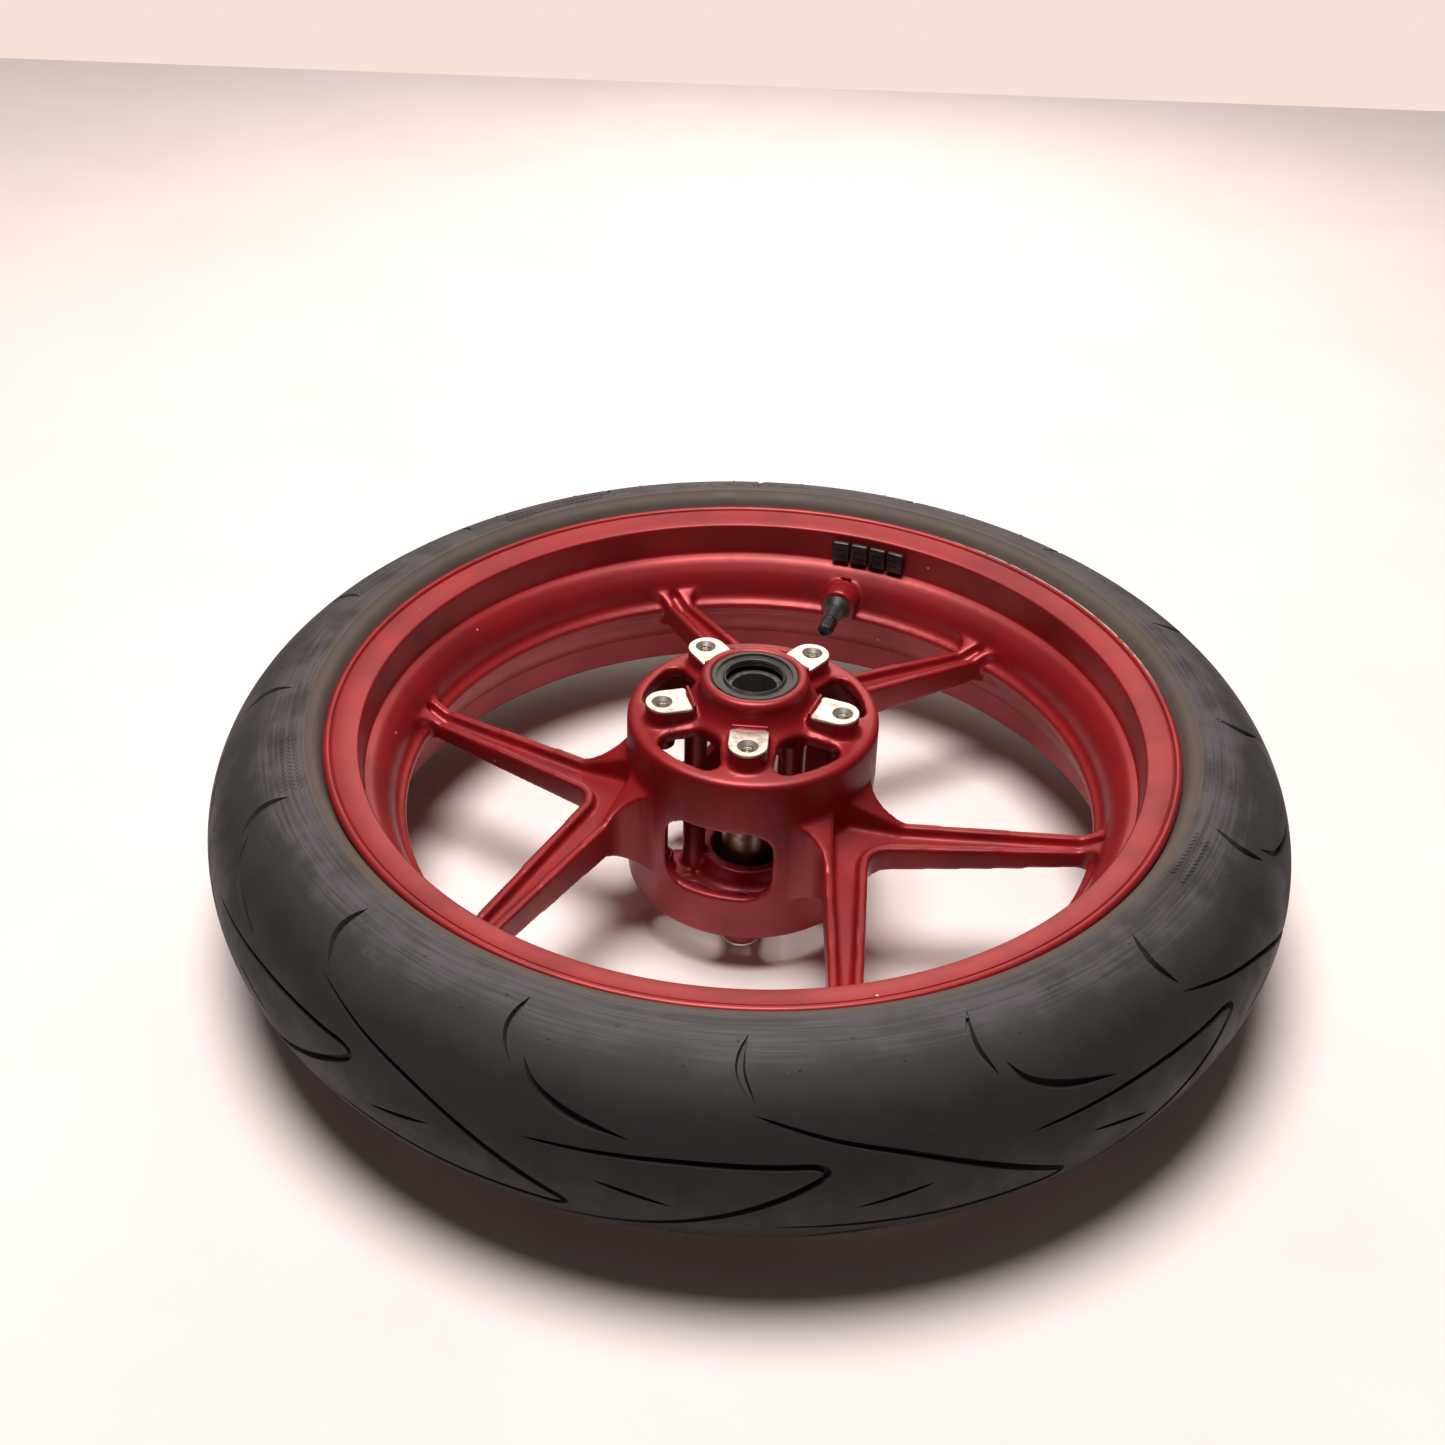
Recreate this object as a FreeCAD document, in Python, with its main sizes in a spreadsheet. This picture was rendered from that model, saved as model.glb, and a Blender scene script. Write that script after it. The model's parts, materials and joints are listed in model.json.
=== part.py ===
import FreeCAD, Part
import math
import operator
import os
from types import SimpleNamespace

import Sketcher
from FreeCAD import Placement, Rotation, Vector

# Front motorcycle wheel, lying on its side: a cast wheel with three Y-shaped double
# spokes, its tyre, both wheel bearings with their seals, the distance collar, the valve
# and the stick-on balance weights. The origin is the wheel's centre and +Z is its axle
# axis. Azimuths are degrees about +Z from +X. Almost everything mirrors about z = 0.

doc = FreeCAD.newDocument("front_wheel")
sheet = doc.addObject("Spreadsheet::Sheet", "Dimensions")

# Every driving dimension, in millimetres or degrees.
driving = {
    # rim, for a 17 inch tyre, 3.50 inch between the flanges
    "flangeRadius": 231.5,
    "flangeTop": 53.2,
    "beadSeatRadius": 218.3,
    "beadHalfWidth": 44.45,
    "wallRadius": 212.0,
    "crestRadius": 208.0,
    "crestHeight": 28.0,
    "wellRadius": 201.5,
    "centreRibRadius": 191.5,
    "centreRibHalf": 2.2,
    # spokes: each arm is two ribs on a web, laid out from the Y's own centre line
    "yAzimuth": 75.5,
    "outerWallAngle": 44.4,
    "outerWallOffset": 38.8,
    "innerWallAngle": 48.4,
    "innerWallOffset": 67.6,
    "ribWidth": 5.2,
    "ribTopAtHub": 10.6,
    "ribTopAtRim": 7.4,
    "ribTopOnWell": 16.0,
    "innerRibBelow": 0.45,
    "gussetTop": 26.0,
    "gussetEnd": 94.0,
    "webTopAtHub": 5.0,
    "webTopAtRim": 2.4,
    "webTopOnWell": 10.0,
    "hubFillet": 16.0,
    "crotchFillet": 12.0,
    "rimFillet": 7.0,
    "armEndRadius": 197.0,
    # hub
    "drumRadius": 69.3,
    "drumInner": 63.3,
    "drumTop": 53.5,
    "plateInner": 47.6,
    "bossRadius": 29.8,
    "bossTop": 76.9,
    "housingInnerEnd": 40.0,
    "bearingBore": 23.5,
    "shoulderHeight": 57.0,
    "shoulderBore": 20.5,
    "openingOuter": 61.5,
    "openingInner": 37.0,
    "openingHalfAngle": 20.0,
    "openingCorner": 7.0,
    "windowHalfWidth": 30.2,
    "windowHalfHeight": 22.6,
    "windowMiddle": -1.6,
    "windowCorner": 15.0,
    # brake disc seats
    "discAzimuth": -92.4,
    "discBoltCircle": 51.0,
    "discSeatHeight": 66.0,
    "discSeatInner": 36.0,
    "discSeatOuter": 60.0,
    "discSeatHalfWidth": 10.5,
    "spigotHeight": 68.0,
    "spigotWall": 1.6,
    "discHole": 3.4,
    "countersink": 5.4,
    "discBossRadius": 7.2,
    "discBossEnd": 38.0,
    # columns that join the hub's two faces, one in line with each Y
    "columnCircle": 32.0,
    "columnRadius": 6.5,
    # tyre, 120/70 on its section circle
    "sectionCentre": 236.2,
    "sectionRadius": 60.2,
    "treadThickness": 9.0,
    # wheel bearings, 25 x 47 x 12
    "axleRadius": 12.5,
    "bearingWidth": 12.0,
    "ballRadius": 3.6,
    "pitchRadius": 18.0,
    "ballCount": 10,
    "innerShoulder": 15.6,
    "outerShoulder": 20.4,
    "groovePlay": 0.03,
    "collarRadius": 15.2,
    # seals and retaining ring
    "ringThickness": 1.6,
    "ringDepth": 1.6,
    "sealTop": 76.5,
    "sealThickness": 5.0,
    "sealLip": 15.6,
    "springWire": 0.9,
    "springRadius": 17.4,
    # tyre valve, its axis radial
    "valveAzimuth": 74.0,
    "valveHeight": 12.0,
    "valveBossRadius": 11.3,
    "valveSeat": 184.0,
    "valveSeatWall": 5.0,
    "valveHole": 5.75,
    "valvePocket": 9.8,
    "valveTip": 156.0,
    "valvePinTravel": 1.2,
    # balance weights
    "weightCount": 4,
    "weightAzimuth": 70.7,
    "weightPitch": 3.3,
    "weightWidth": 11.4,
    "weightHeight": 14.0,
    "weightThickness": 4.6,
    "weightCentre": 38.0,
}
for row, (name, number) in enumerate(driving.items(), start=1):
    sheet.set(f"A{row}", name)
    sheet.set(f"B{row}", str(number))
    sheet.setAlias(f"B{row}", name)
doc.recompute()


class Size:
    # A number together with the expression over the sheet that gives it, so that the
    # same arithmetic places a point and binds it.
    def __init__(self, number, text):
        self.number = number
        self.text = text


def asSize(value):
    return value if isinstance(value, Size) else Size(float(value), f"{value}")


def binary(symbol, compute):
    def combine(left, right):
        left, right = asSize(left), asSize(right)
        number = compute(left.number, right.number)
        return Size(number, f"({left.text} {symbol} {right.text})")
    return combine


for method, symbol, compute in (
    ("add", "+", operator.add),
    ("sub", "-", operator.sub),
    ("mul", "*", operator.mul),
    ("truediv", "/", operator.truediv),
):
    combine = binary(symbol, compute)
    setattr(Size, f"__{method}__", combine)
    setattr(Size, f"__r{method}__", lambda right, left, run=combine: run(left, right))
Size.__neg__ = lambda size: 0 - size


def cosine(angle):
    return Size(math.cos(math.radians(angle.number)), f"cos({angle.text})")


def sine(angle):
    return Size(math.sin(math.radians(angle.number)), f"sin({angle.text})")


def root(size):
    return Size(math.sqrt(size.number), f"sqrt({size.text})")


d = SimpleNamespace(**{
    name: Size(float(number), f"Dimensions.{name}") for name, number in driving.items()
})


def bind(thing, **sizes):
    # Each keyword is a property; a double underscore stands for the dot of a sub-property.
    for key, value in sizes.items():
        thing.setExpression(key.replace("__", "."), asSize(value).text)
    return thing


# ---- outlines -------------------------------------------------------------------------

def fixPoint(sketch, geometry, end, point):
    for kind, value in (("DistanceX", point[0]), ("DistanceY", point[1])):
        size = asSize(value)
        index = sketch.addConstraint(Sketcher.Constraint(kind, geometry, end, size.number))
        if "Dimensions." in size.text:
            sketch.setExpression(f"Constraints[{index}]", size.text)


def flat(point):
    return Vector(asSize(point[0]).number, asSize(point[1]).number, 0)


def drawOutline(sketch, corners):
    # Each corner is (x, y), or (x, y, midX, midY) where an arc through that middle point
    # leads to the next corner.
    starts = []
    for here, following in zip(corners, corners[1:] + corners[:1]):
        if len(here) == 2:
            index = sketch.addGeometry(Part.LineSegment(flat(here), flat(following)), False)
            starts.append((index, 1, 2))
            continue
        arc = Part.Arc(flat(here), flat(here[2:]), flat(following))
        index = sketch.addGeometry(arc, False)
        forward = sketch.getPoint(index, 1).distanceToPoint(flat(here)) < 1e-4
        starts.append((index, 1, 2) if forward else (index, 2, 1))
        middle = sketch.addGeometry(Part.Point(flat(here[2:])), True)
        fixPoint(sketch, middle, 1, here[2:])
        sketch.addConstraint(Sketcher.Constraint("PointOnObject", middle, 1, index))
    for number, corner in enumerate(corners):
        index, start, _ = starts[number]
        before, _, end = starts[number - 1]
        sketch.addConstraint(Sketcher.Constraint("Coincident", before, end, index, start))
        fixPoint(sketch, index, start, corner)
    return sketch


def freeSketch(name, corners, placement=None):
    sketch = doc.addObject("Sketcher::SketchObject", name)
    sketch.Placement = placement or Placement()
    return drawOutline(sketch, corners)


def mirrored(half):
    # Adds the mirror image about the sketch's horizontal axis to an outline's upper half,
    # which starts and ends on that axis or runs round to meet its own image. An arc is
    # stated at its first corner, so the image states it one corner later.
    image = []
    for number in range(len(half) - 1, -1, -1):
        corner = half[number]
        arc = half[number - 1][2:] if number else ()
        turned = (corner[0], -corner[1])
        image.append(turned + ((arc[0], -arc[1]) if arc else ()))
    onAxisStart = asSize(half[0][1]).number == 0
    onAxisEnd = asSize(half[-1][1]).number == 0
    if onAxisEnd:
        arc = image[0][2:]
        half = half[:-1] + [half[-1][:2] + arc]
        image = image[1:]
    return half + (image[:-1] if onAxisStart else image)


upright = Placement(Vector(), Rotation(Vector(1, 0, 0), 90))  # sketch (x, y) is (r, z)


def revolve(name, corners):
    turned = doc.addObject("Part::Revolution", name)
    turned.Source = freeSketch(name + "Section", corners, upright)
    turned.Axis = Vector(0, 0, 1)
    turned.Angle = 360
    turned.Solid = True
    return turned


def extrude(name, base, below, above, along=Vector(0, 0, 1)):
    raised = doc.addObject("Part::Extrusion", name)
    raised.Base = base
    raised.DirMode = "Custom"
    raised.Dir = along
    raised.Solid = True
    return bind(raised, LengthFwd=above, LengthRev=below)


def fuse(name, pieces):
    whole = doc.addObject("Part::MultiFuse", name)
    whole.Shapes = pieces
    whole.Refine = False
    return whole


def cut(name, base, tool):
    left = doc.addObject("Part::Cut", name)
    left.Base = base
    left.Tool = tool
    left.Refine = False
    return left


def common(name, base, tool):
    shared = doc.addObject("Part::Common", name)
    shared.Base = base
    shared.Tool = tool
    shared.Refine = False
    return shared


def cylinder(name, radius, length, lift=0, out=0, azimuth=0, radial=False):
    # Stands at radius "out" and height "lift". A radial one points away from the axle.
    solid = doc.addObject("Part::Cylinder", name)
    tilt = Rotation(Vector(0, 1, 0), 90) if radial else Rotation()
    solid.Placement = Placement(Vector(), Rotation(Vector(0, 0, 1), azimuth.number) * tilt
                                if isinstance(azimuth, Size) else tilt)
    place = asSize(azimuth)
    return bind(solid, Radius=radius, Height=length, Placement__Base__z=lift,
                Placement__Base__x=asSize(out) * cosine(place),
                Placement__Base__y=asSize(out) * sine(place))


def turnedBody(label, corners):
    # A lathe-turned or moulded ring: a Body with one revolved sketch.
    body = doc.addObject("PartDesign::Body", label)
    sketch = body.newObject("Sketcher::SketchObject", label + "_section")
    plane = next(f for f in body.Origin.OriginFeatures if f.Role == "XZ_Plane")
    sketch.AttachmentSupport = [(plane, "")]
    sketch.MapMode = "FlatFace"
    drawOutline(sketch, corners)
    turned = body.newObject("PartDesign::Revolution", label + "_turned")
    turned.Profile = sketch
    turned.ReferenceAxis = (sketch, ["V_Axis"])
    turned.Angle = 360
    body.Tip = turned
    sketch.Visibility = False
    return body


# ---- rim ------------------------------------------------------------------------------

rimHalf = [
    (d.centreRibRadius, 0),
    (d.centreRibRadius, d.centreRibHalf),
    (d.centreRibRadius + 3.8, d.centreRibHalf + 2.0),
    (d.centreRibRadius + 5.8, d.centreRibHalf + 4.8, d.crestRadius - 7.6, d.crestHeight - 8.8),
    (d.crestRadius, d.crestHeight),
    (d.crestRadius + 2.6, d.crestHeight + 0.9,
     d.crestRadius + 3.6, d.crestHeight + 1.5),
    (d.wallRadius, d.crestHeight + 2.6),
    (d.wallRadius + 1.0, d.flangeTop - 6.2),
    (d.wallRadius + 2.2, d.flangeTop - 4.2),
    (d.flangeRadius - 5.2, d.flangeTop - 1.2),
    (d.flangeRadius - 4.5, d.flangeTop - 1.8),
    (d.flangeRadius - 3.8, d.flangeTop - 0.7),
    (d.flangeRadius - 2.2, d.flangeTop, d.flangeRadius - 0.6, d.flangeTop - 0.7),
    (d.flangeRadius, d.flangeTop - 2.2),
    (d.flangeRadius, d.beadHalfWidth + 5.4, d.flangeRadius - 2.2, d.beadHalfWidth + 2.2),
    (d.flangeRadius - 7.5, d.beadHalfWidth),
    (d.beadSeatRadius + 2.2, d.beadHalfWidth),
    (d.beadSeatRadius, d.beadHalfWidth - 2.0),
    (d.beadSeatRadius - 0.9, d.beadHalfWidth - 11.4),
    (d.beadSeatRadius + 0.3, d.beadHalfWidth - 13.2),
    (d.beadSeatRadius - 1.0, d.beadHalfWidth - 15.0),
    (d.wellRadius + 6.0, d.crestHeight - 7.5),
    (d.wellRadius + 1.2, d.crestHeight - 14.0),
    (d.wellRadius, d.crestHeight - 18.0),
    (d.wellRadius, 0),
]
rim = revolve("rim", mirrored(rimHalf))

# ---- spokes ---------------------------------------------------------------------------
# An arm's edge is a straight line at an angle from the Y's centre line. Its points are
# given by the line's distance from the axle and the run along it from the foot of that
# distance.

def along(angle, offset, run):
    return (offset * sine(angle) + run * cosine(angle),
            run * sine(angle) - offset * cosine(angle))


def runAt(offset, radius):
    return root(radius * radius - offset * offset)


def towards(centre, radius, first, second):
    # The middle of a fillet of this radius, between two unit directions from its centre.
    x = first[0] + second[0]
    y = first[1] + second[1]
    length = root(x * x + y * y)
    return (centre[0] + radius * x / length, centre[1] + radius * y / length)


rootRadius = d.drumRadius - 3  # the spokes start inside the drum's wall


def hubFlare(angle, offset):
    # The outer wall's fillet onto the drum: (start, end), the first with its arc's middle.
    reach = d.drumRadius + d.hubFillet
    across = offset - d.hubFillet
    centre = along(angle, across, runAt(across, reach))
    onDrum = tuple(c * d.drumRadius / reach for c in centre)
    onWall = along(angle, offset, runAt(across, reach))
    inward = (-centre[0] / reach, -centre[1] / reach)
    middle = towards(centre, d.hubFillet, inward, (sine(angle), -cosine(angle)))
    start = tuple(c * rootRadius / reach for c in centre)
    return start, onDrum + middle, onWall


def rimFlare(angle, offset, side):
    # A wall's fillet onto the rim: side is -1 on the outer wall and 1 on the inner one.
    reach = d.armEndRadius - d.rimFillet
    across = offset + side * d.rimFillet
    centre = along(angle, across, runAt(across, reach))
    onWall = along(angle, offset, runAt(across, reach))
    onRim = tuple(c * d.armEndRadius / reach for c in centre)
    outward = (centre[0] / reach, centre[1] / reach)
    towardWall = (-side * sine(angle), side * cosine(angle))
    middle = towards(centre, d.rimFillet, outward, towardWall)
    end = tuple(c * (d.armEndRadius + 9) / reach for c in centre)
    return onWall, middle, onRim, end


def crotch(offset, fillet):
    # The inner walls meet in a rounded corner on the Y's centre line.
    run = (offset + fillet) * cosine(d.innerWallAngle) / sine(d.innerWallAngle)
    tip = (offset + fillet) / sine(d.innerWallAngle) - fillet
    return along(d.innerWallAngle, offset, run), (tip, 0)


rootPoint, drumPoint, outerStart = hubFlare(d.outerWallAngle, d.outerWallOffset)
outerWall, outerMiddle, outerRim, outerEnd = rimFlare(d.outerWallAngle, d.outerWallOffset, -1)
innerWall, innerMiddle, innerRim, innerEnd = rimFlare(d.innerWallAngle, d.innerWallOffset, 1)
corner, cornerTip = crotch(d.innerWallOffset, d.crotchFillet)
grooveOuter = d.outerWallOffset + d.ribWidth
grooveInner = d.innerWallOffset - d.ribWidth
ribEnd = d.armEndRadius + 9

webHalf = [
    (rootRadius, 0, rootRadius * cosine(d.innerWallAngle / 4),
     rootRadius * sine(d.innerWallAngle / 4)),
    rootPoint,
    drumPoint,
    outerStart,
    outerWall + outerMiddle,
    outerRim,
    outerEnd,
    innerEnd,
    innerRim + innerMiddle,
    innerWall,
    corner + cornerTip,
]
webOutline = webHalf + [(x, -y) for x, y in (corner, innerWall)]
webOutline[-1] = (innerWall[0], -innerWall[1], innerMiddle[0], -innerMiddle[1])
webOutline += [
    (innerRim[0], -innerRim[1]),
    (innerEnd[0], -innerEnd[1]),
    (outerEnd[0], -outerEnd[1]),
    (outerRim[0], -outerRim[1], outerMiddle[0], -outerMiddle[1]),
    (outerWall[0], -outerWall[1]),
    (outerStart[0], -outerStart[1], drumPoint[2], -drumPoint[3]),
    (drumPoint[0], -drumPoint[1]),
    (rootPoint[0], -rootPoint[1],
     rootRadius * cosine(d.innerWallAngle / 4),
     -rootRadius * sine(d.innerWallAngle / 4)),
]

outerRib = [
    rootPoint,
    drumPoint,
    outerStart,
    outerWall + outerMiddle,
    outerRim,
    outerEnd,
    along(d.outerWallAngle, grooveOuter, runAt(grooveOuter, ribEnd)),
    along(d.outerWallAngle, grooveOuter, runAt(grooveOuter, rootRadius)),
]
grooveCorner, grooveTip = crotch(grooveInner, d.crotchFillet + d.ribWidth)
grooveEnd = along(d.innerWallAngle, grooveInner, runAt(grooveInner, ribEnd))
innerRib = [
    grooveEnd,
    innerEnd,
    innerRim + innerMiddle,
    innerWall,
    corner + cornerTip,
    (corner[0], -corner[1]),
    (innerWall[0], -innerWall[1], innerMiddle[0], -innerMiddle[1]),
    (innerRim[0], -innerRim[1]),
    (innerEnd[0], -innerEnd[1]),
    (grooveEnd[0], -grooveEnd[1]),
    (grooveCorner[0], -grooveCorner[1]) + grooveTip,
    grooveCorner,
]


def flipped(outline):
    # The same outline mirrored about the Y's centre line.
    return [(c[0], -c[1]) + ((c[2], -c[3]) if len(c) == 4 else ()) for c in outline]


def armHeights(name, atDrum, atBend, nearRim, onWell, below):
    # The ring that limits how tall a part of the spokes is, from the drum to the well. Its
    # lower side has the same shape, times "below".
    rise = (atDrum - atBend) * 10 / (d.gussetEnd - d.drumRadius)
    top = [
        (d.drumRadius - 10, atDrum + rise),
        (d.gussetEnd, atBend),
        (d.armEndRadius - 11, nearRim),
        (d.armEndRadius + 9, onWell),
    ]
    return revolve(name, top + [(radius, -height * below) for radius, height in reversed(top)])


parts = {"web": [webOutline], "outerRib": [outerRib, flipped(outerRib)], "innerRib": [innerRib]}
heights = {
    "web": (d.webTopAtHub * 2, d.webTopAtHub, d.webTopAtRim, d.webTopOnWell, 1),
    "outerRib": (d.gussetTop, d.ribTopAtHub, d.ribTopAtRim, d.ribTopOnWell, 1),
    "innerRib": (d.ribTopAtHub, d.ribTopAtHub, d.ribTopAtRim, d.ribTopOnWell, d.innerRibBelow),
}
spokePieces = []
for part, outlines in parts.items():
    solids = []
    for arm in range(3):
        for side, outline in enumerate(outlines):
            name = f"{part}{arm}{side}"
            sketch = freeSketch(name + "Outline", outline)
            bind(sketch, Placement__Rotation__Angle=d.yAzimuth + 120 * arm)
            solids.append(extrude(name, sketch, d.gussetTop * 1.4, d.gussetTop * 1.4))
    limit = armHeights(part + "Heights", *heights[part])
    spokePieces.append(common(part + "s", fuse(part + "Stock", solids), limit))

# ---- hub ------------------------------------------------------------------------------

hubHalf = [
    (d.drumRadius + 0.3, 0),
    (d.drumRadius - 0.3, d.drumTop - 3.2, d.drumRadius - 1.2, d.drumTop - 1.0),
    (d.drumRadius - 3.4, d.drumTop),
    (d.bossRadius + 12.0, d.drumTop + 3.2, d.bossRadius + 5.0, d.drumTop + 6.4),
    (d.bossRadius + 1.2, d.drumTop + 12.5),
    (d.bossRadius, d.drumTop + 16.5),
    (d.bossRadius, d.bossTop - 2.4),
    (d.bossRadius - 1.9, d.bossTop),
    (d.bearingBore + 0.8, d.bossTop),
    (d.bearingBore, d.bossTop - 0.8),
    (d.bearingBore, d.shoulderHeight),
    (d.shoulderBore, d.shoulderHeight),
    (d.shoulderBore, d.housingInnerEnd),
    (d.bossRadius - 2.6, d.housingInnerEnd),
    (d.bossRadius - 1.0, d.plateInner - 1.0, d.bossRadius + 1.4, d.plateInner + 2.0),
    (d.bossRadius + 7.0, d.plateInner + 2.9),
    (d.drumInner - 5.0, d.plateInner, d.drumInner - 1.2, d.plateInner - 1.4),
    (d.drumInner, d.plateInner - 5.0),
    (d.drumInner, 0),
]
shell = revolve("hubShell", mirrored(hubHalf))

openings = []
rounding = d.openingCorner
for opening in range(5):
    middle = d.discAzimuth + 36 + 72 * opening
    spread = d.openingHalfAngle
    corners = []
    for radius, width in ((d.openingInner + rounding, 0.3), (d.openingOuter - rounding, 0.68)):
        for side in ((1, -1) if width == 0.3 else (-1, 1)):
            angle = middle + side * spread * width
            corners.append((radius * cosine(angle), radius * sine(angle)))
    far = d.openingOuter - rounding
    corners[2] += (far * cosine(middle), far * sine(middle))
    rounded = doc.addObject("Part::Offset2D", f"openingRound{opening}")
    rounded.Source = freeSketch(f"openingOutline{opening}", corners)
    rounded.Join = "Arc"
    bind(rounded, Value=rounding)
    openings.append(extrude(f"opening{opening}", rounded, d.bossTop, d.bossTop))

windows = []
wide = d.windowHalfWidth - d.windowCorner
tall = d.windowHalfHeight - d.windowCorner
windowCorners = ((-wide, -tall), (wide, -tall), (wide, tall), (-wide, tall))
windowCore = [(x, d.windowMiddle + y) for x, y in windowCorners]
for window in range(3):
    rounded = doc.addObject("Part::Offset2D", f"windowRound{window}")
    rounded.Source = freeSketch(f"windowOutline{window}", windowCore, upright)
    rounded.Join = "Arc"
    bind(rounded, Value=d.windowCorner)
    punch = extrude(f"windowPunch{window}", rounded, d.drumRadius + 12, -(d.drumInner - 18),
                    Vector(0, 1, 0))
    azimuth = d.yAzimuth + 60 + 120 * window
    punch.Placement = Placement(Vector(), Rotation(Vector(0, 0, 1), 1))
    bind(punch, Placement__Rotation__Angle=azimuth + 90)
    windows.append(punch)
shellOpen = cut("hubShellOpen", shell, fuse("hubOpenings", openings + windows))

seats = []
holes = []
seatEnd = d.discSeatOuter - d.discSeatHalfWidth
seatOutline = [
    (d.discSeatInner, -d.discSeatHalfWidth),
    (seatEnd, -d.discSeatHalfWidth, d.discSeatOuter, 0),
    (seatEnd, d.discSeatHalfWidth),
    (d.discSeatInner, d.discSeatHalfWidth),
]
spigotOutline = [
    (d.discSeatInner - d.spigotWall, -d.discSeatHalfWidth),
    (d.discSeatInner, -d.discSeatHalfWidth),
    (d.discSeatInner, d.discSeatHalfWidth),
    (d.discSeatInner - d.spigotWall, d.discSeatHalfWidth),
]
for seat in range(5):
    azimuth = d.discAzimuth + 72 * seat
    for face, side in (("Top", 1), ("Bottom", -1)):
        tag = f"{face}{seat}"
        for kind, outline, height in (
            ("discSeat", seatOutline, d.discSeatHeight),
            ("spigot", spigotOutline, d.spigotHeight),
        ):
            sketch = freeSketch(f"{kind}{tag}Outline", outline)
            bind(sketch, Placement__Rotation__Angle=azimuth)
            low = -(d.plateInner + 1) if side == 1 else height
            high = height if side == 1 else -(d.plateInner + 1)
            seats.append(extrude(kind + tag, sketch, low, high))
        bossDepth = d.plateInner + 2 - d.discBossEnd
        bossBase = d.discBossEnd if side == 1 else -(d.plateInner + 2)
        seats.append(cylinder("discBoss" + tag, d.discBossRadius, bossDepth, bossBase,
                              d.discBoltCircle, azimuth))
        holeDepth = d.discSeatHeight - d.discBossEnd + 1
        holeBase = d.discBossEnd - 1 if side == 1 else -d.discSeatHeight
        holes.append(cylinder("discHole" + tag, d.discHole, holeDepth, holeBase,
                              d.discBoltCircle, azimuth))
        sink = doc.addObject("Part::Cone", "countersink" + tag)
        narrow = (d.discHole, d.countersink)[::side]
        sinkDepth = d.countersink - d.discHole
        bind(sink, Radius1=narrow[0], Radius2=narrow[1], Height=sinkDepth,
             Placement__Base__x=d.discBoltCircle * cosine(azimuth),
             Placement__Base__y=d.discBoltCircle * sine(azimuth),
             Placement__Base__z=(d.discSeatHeight - sinkDepth if side == 1
                                 else -d.discSeatHeight))
        holes.append(sink)
for column in range(3):
    seats.append(cylinder(f"column{column}", d.columnRadius, d.plateInner * 2 + 4,
                          -d.plateInner - 2, d.columnCircle, d.yAzimuth + 120 * column))

# ---- valve boss -----------------------------------------------------------------------

valveBoss = cylinder("valveBoss", d.valveBossRadius, d.wellRadius - d.valveSeat - 1,
                     d.valveHeight, d.valveSeat, d.valveAzimuth, radial=True)
valveHole = cylinder("valveHole", d.valveHole, 30, d.valveHeight,
                     d.valveSeat - 2, d.valveAzimuth, radial=True)
valvePocket = cylinder("valvePocket", d.valvePocket, 30, d.valveHeight,
                       d.valveSeat + d.valveSeatWall, d.valveAzimuth, radial=True)

castStock = fuse("castStock", [rim, shellOpen, valveBoss] + spokePieces + seats)
ringGroove = revolve("ringGroove", [
    (d.bearingBore - 1, d.shoulderHeight + d.bearingWidth),
    (d.bearingBore + d.ringDepth, d.shoulderHeight + d.bearingWidth),
    (d.bearingBore + d.ringDepth, d.shoulderHeight + d.bearingWidth + d.ringThickness),
    (d.bearingBore - 1, d.shoulderHeight + d.bearingWidth + d.ringThickness),
])
casting = cut("casting", castStock, fuse("castHoles", holes + [valveHole, valvePocket, ringGroove]))
casting.Label = "wheel_casting"

# ---- tyre -----------------------------------------------------------------------------

def onSection(radius, angle):
    turn = asSize(angle)
    return (d.sectionCentre + radius * cosine(turn), radius * sine(turn))


insideRadius = d.sectionRadius - d.treadThickness
seatGap = 0.1
tyreHalf = [
    (d.sectionCentre + d.sectionRadius, 0) + onSection(d.sectionRadius, 42),
    onSection(d.sectionRadius, 84),
    (d.flangeRadius + 5.0, d.flangeTop + 4.4),
    (d.flangeRadius + 1.8, d.flangeTop + 0.4),
    (d.flangeRadius + 0.7, d.beadHalfWidth + 5.0, d.flangeRadius - 1.4, d.beadHalfWidth + 1.9),
    (d.flangeRadius - 7.3, d.beadHalfWidth - seatGap),
    (d.beadSeatRadius + 2.4, d.beadHalfWidth - seatGap),
    (d.beadSeatRadius + seatGap, d.beadHalfWidth - 2.2),
    (d.beadSeatRadius - 0.9 + seatGap * 2, d.beadHalfWidth - 11.2),
    (d.beadSeatRadius + 1.4, d.beadHalfWidth - 12.8),
    (d.beadSeatRadius + 7.0, d.beadHalfWidth - 11.0),
    (d.flangeRadius, d.beadHalfWidth - 1.5),
    (d.flangeRadius + 4.2, d.flangeTop - 4.0),
    onSection(insideRadius, 82) + onSection(insideRadius, 41),
    (d.sectionCentre + insideRadius, 0),
]
tyre = turnedBody("tyre", mirrored(tyreHalf))

# ---- wheel bearings, seals and collar --------------------------------------------------

def compound(label, pieces):
    group = doc.addObject("Part::Compound", label)
    group.Links = pieces
    return group


def sphere(name, radius, out, azimuth, lift):
    ball = doc.addObject("Part::Sphere", name)
    return bind(ball, Radius=radius, Placement__Base__x=out * cosine(azimuth),
                Placement__Base__y=out * sine(azimuth), Placement__Base__z=lift)


def ring(inner, outer, low, high):
    return [(inner, low), (outer, low), (outer, high), (inner, high)]


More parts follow.
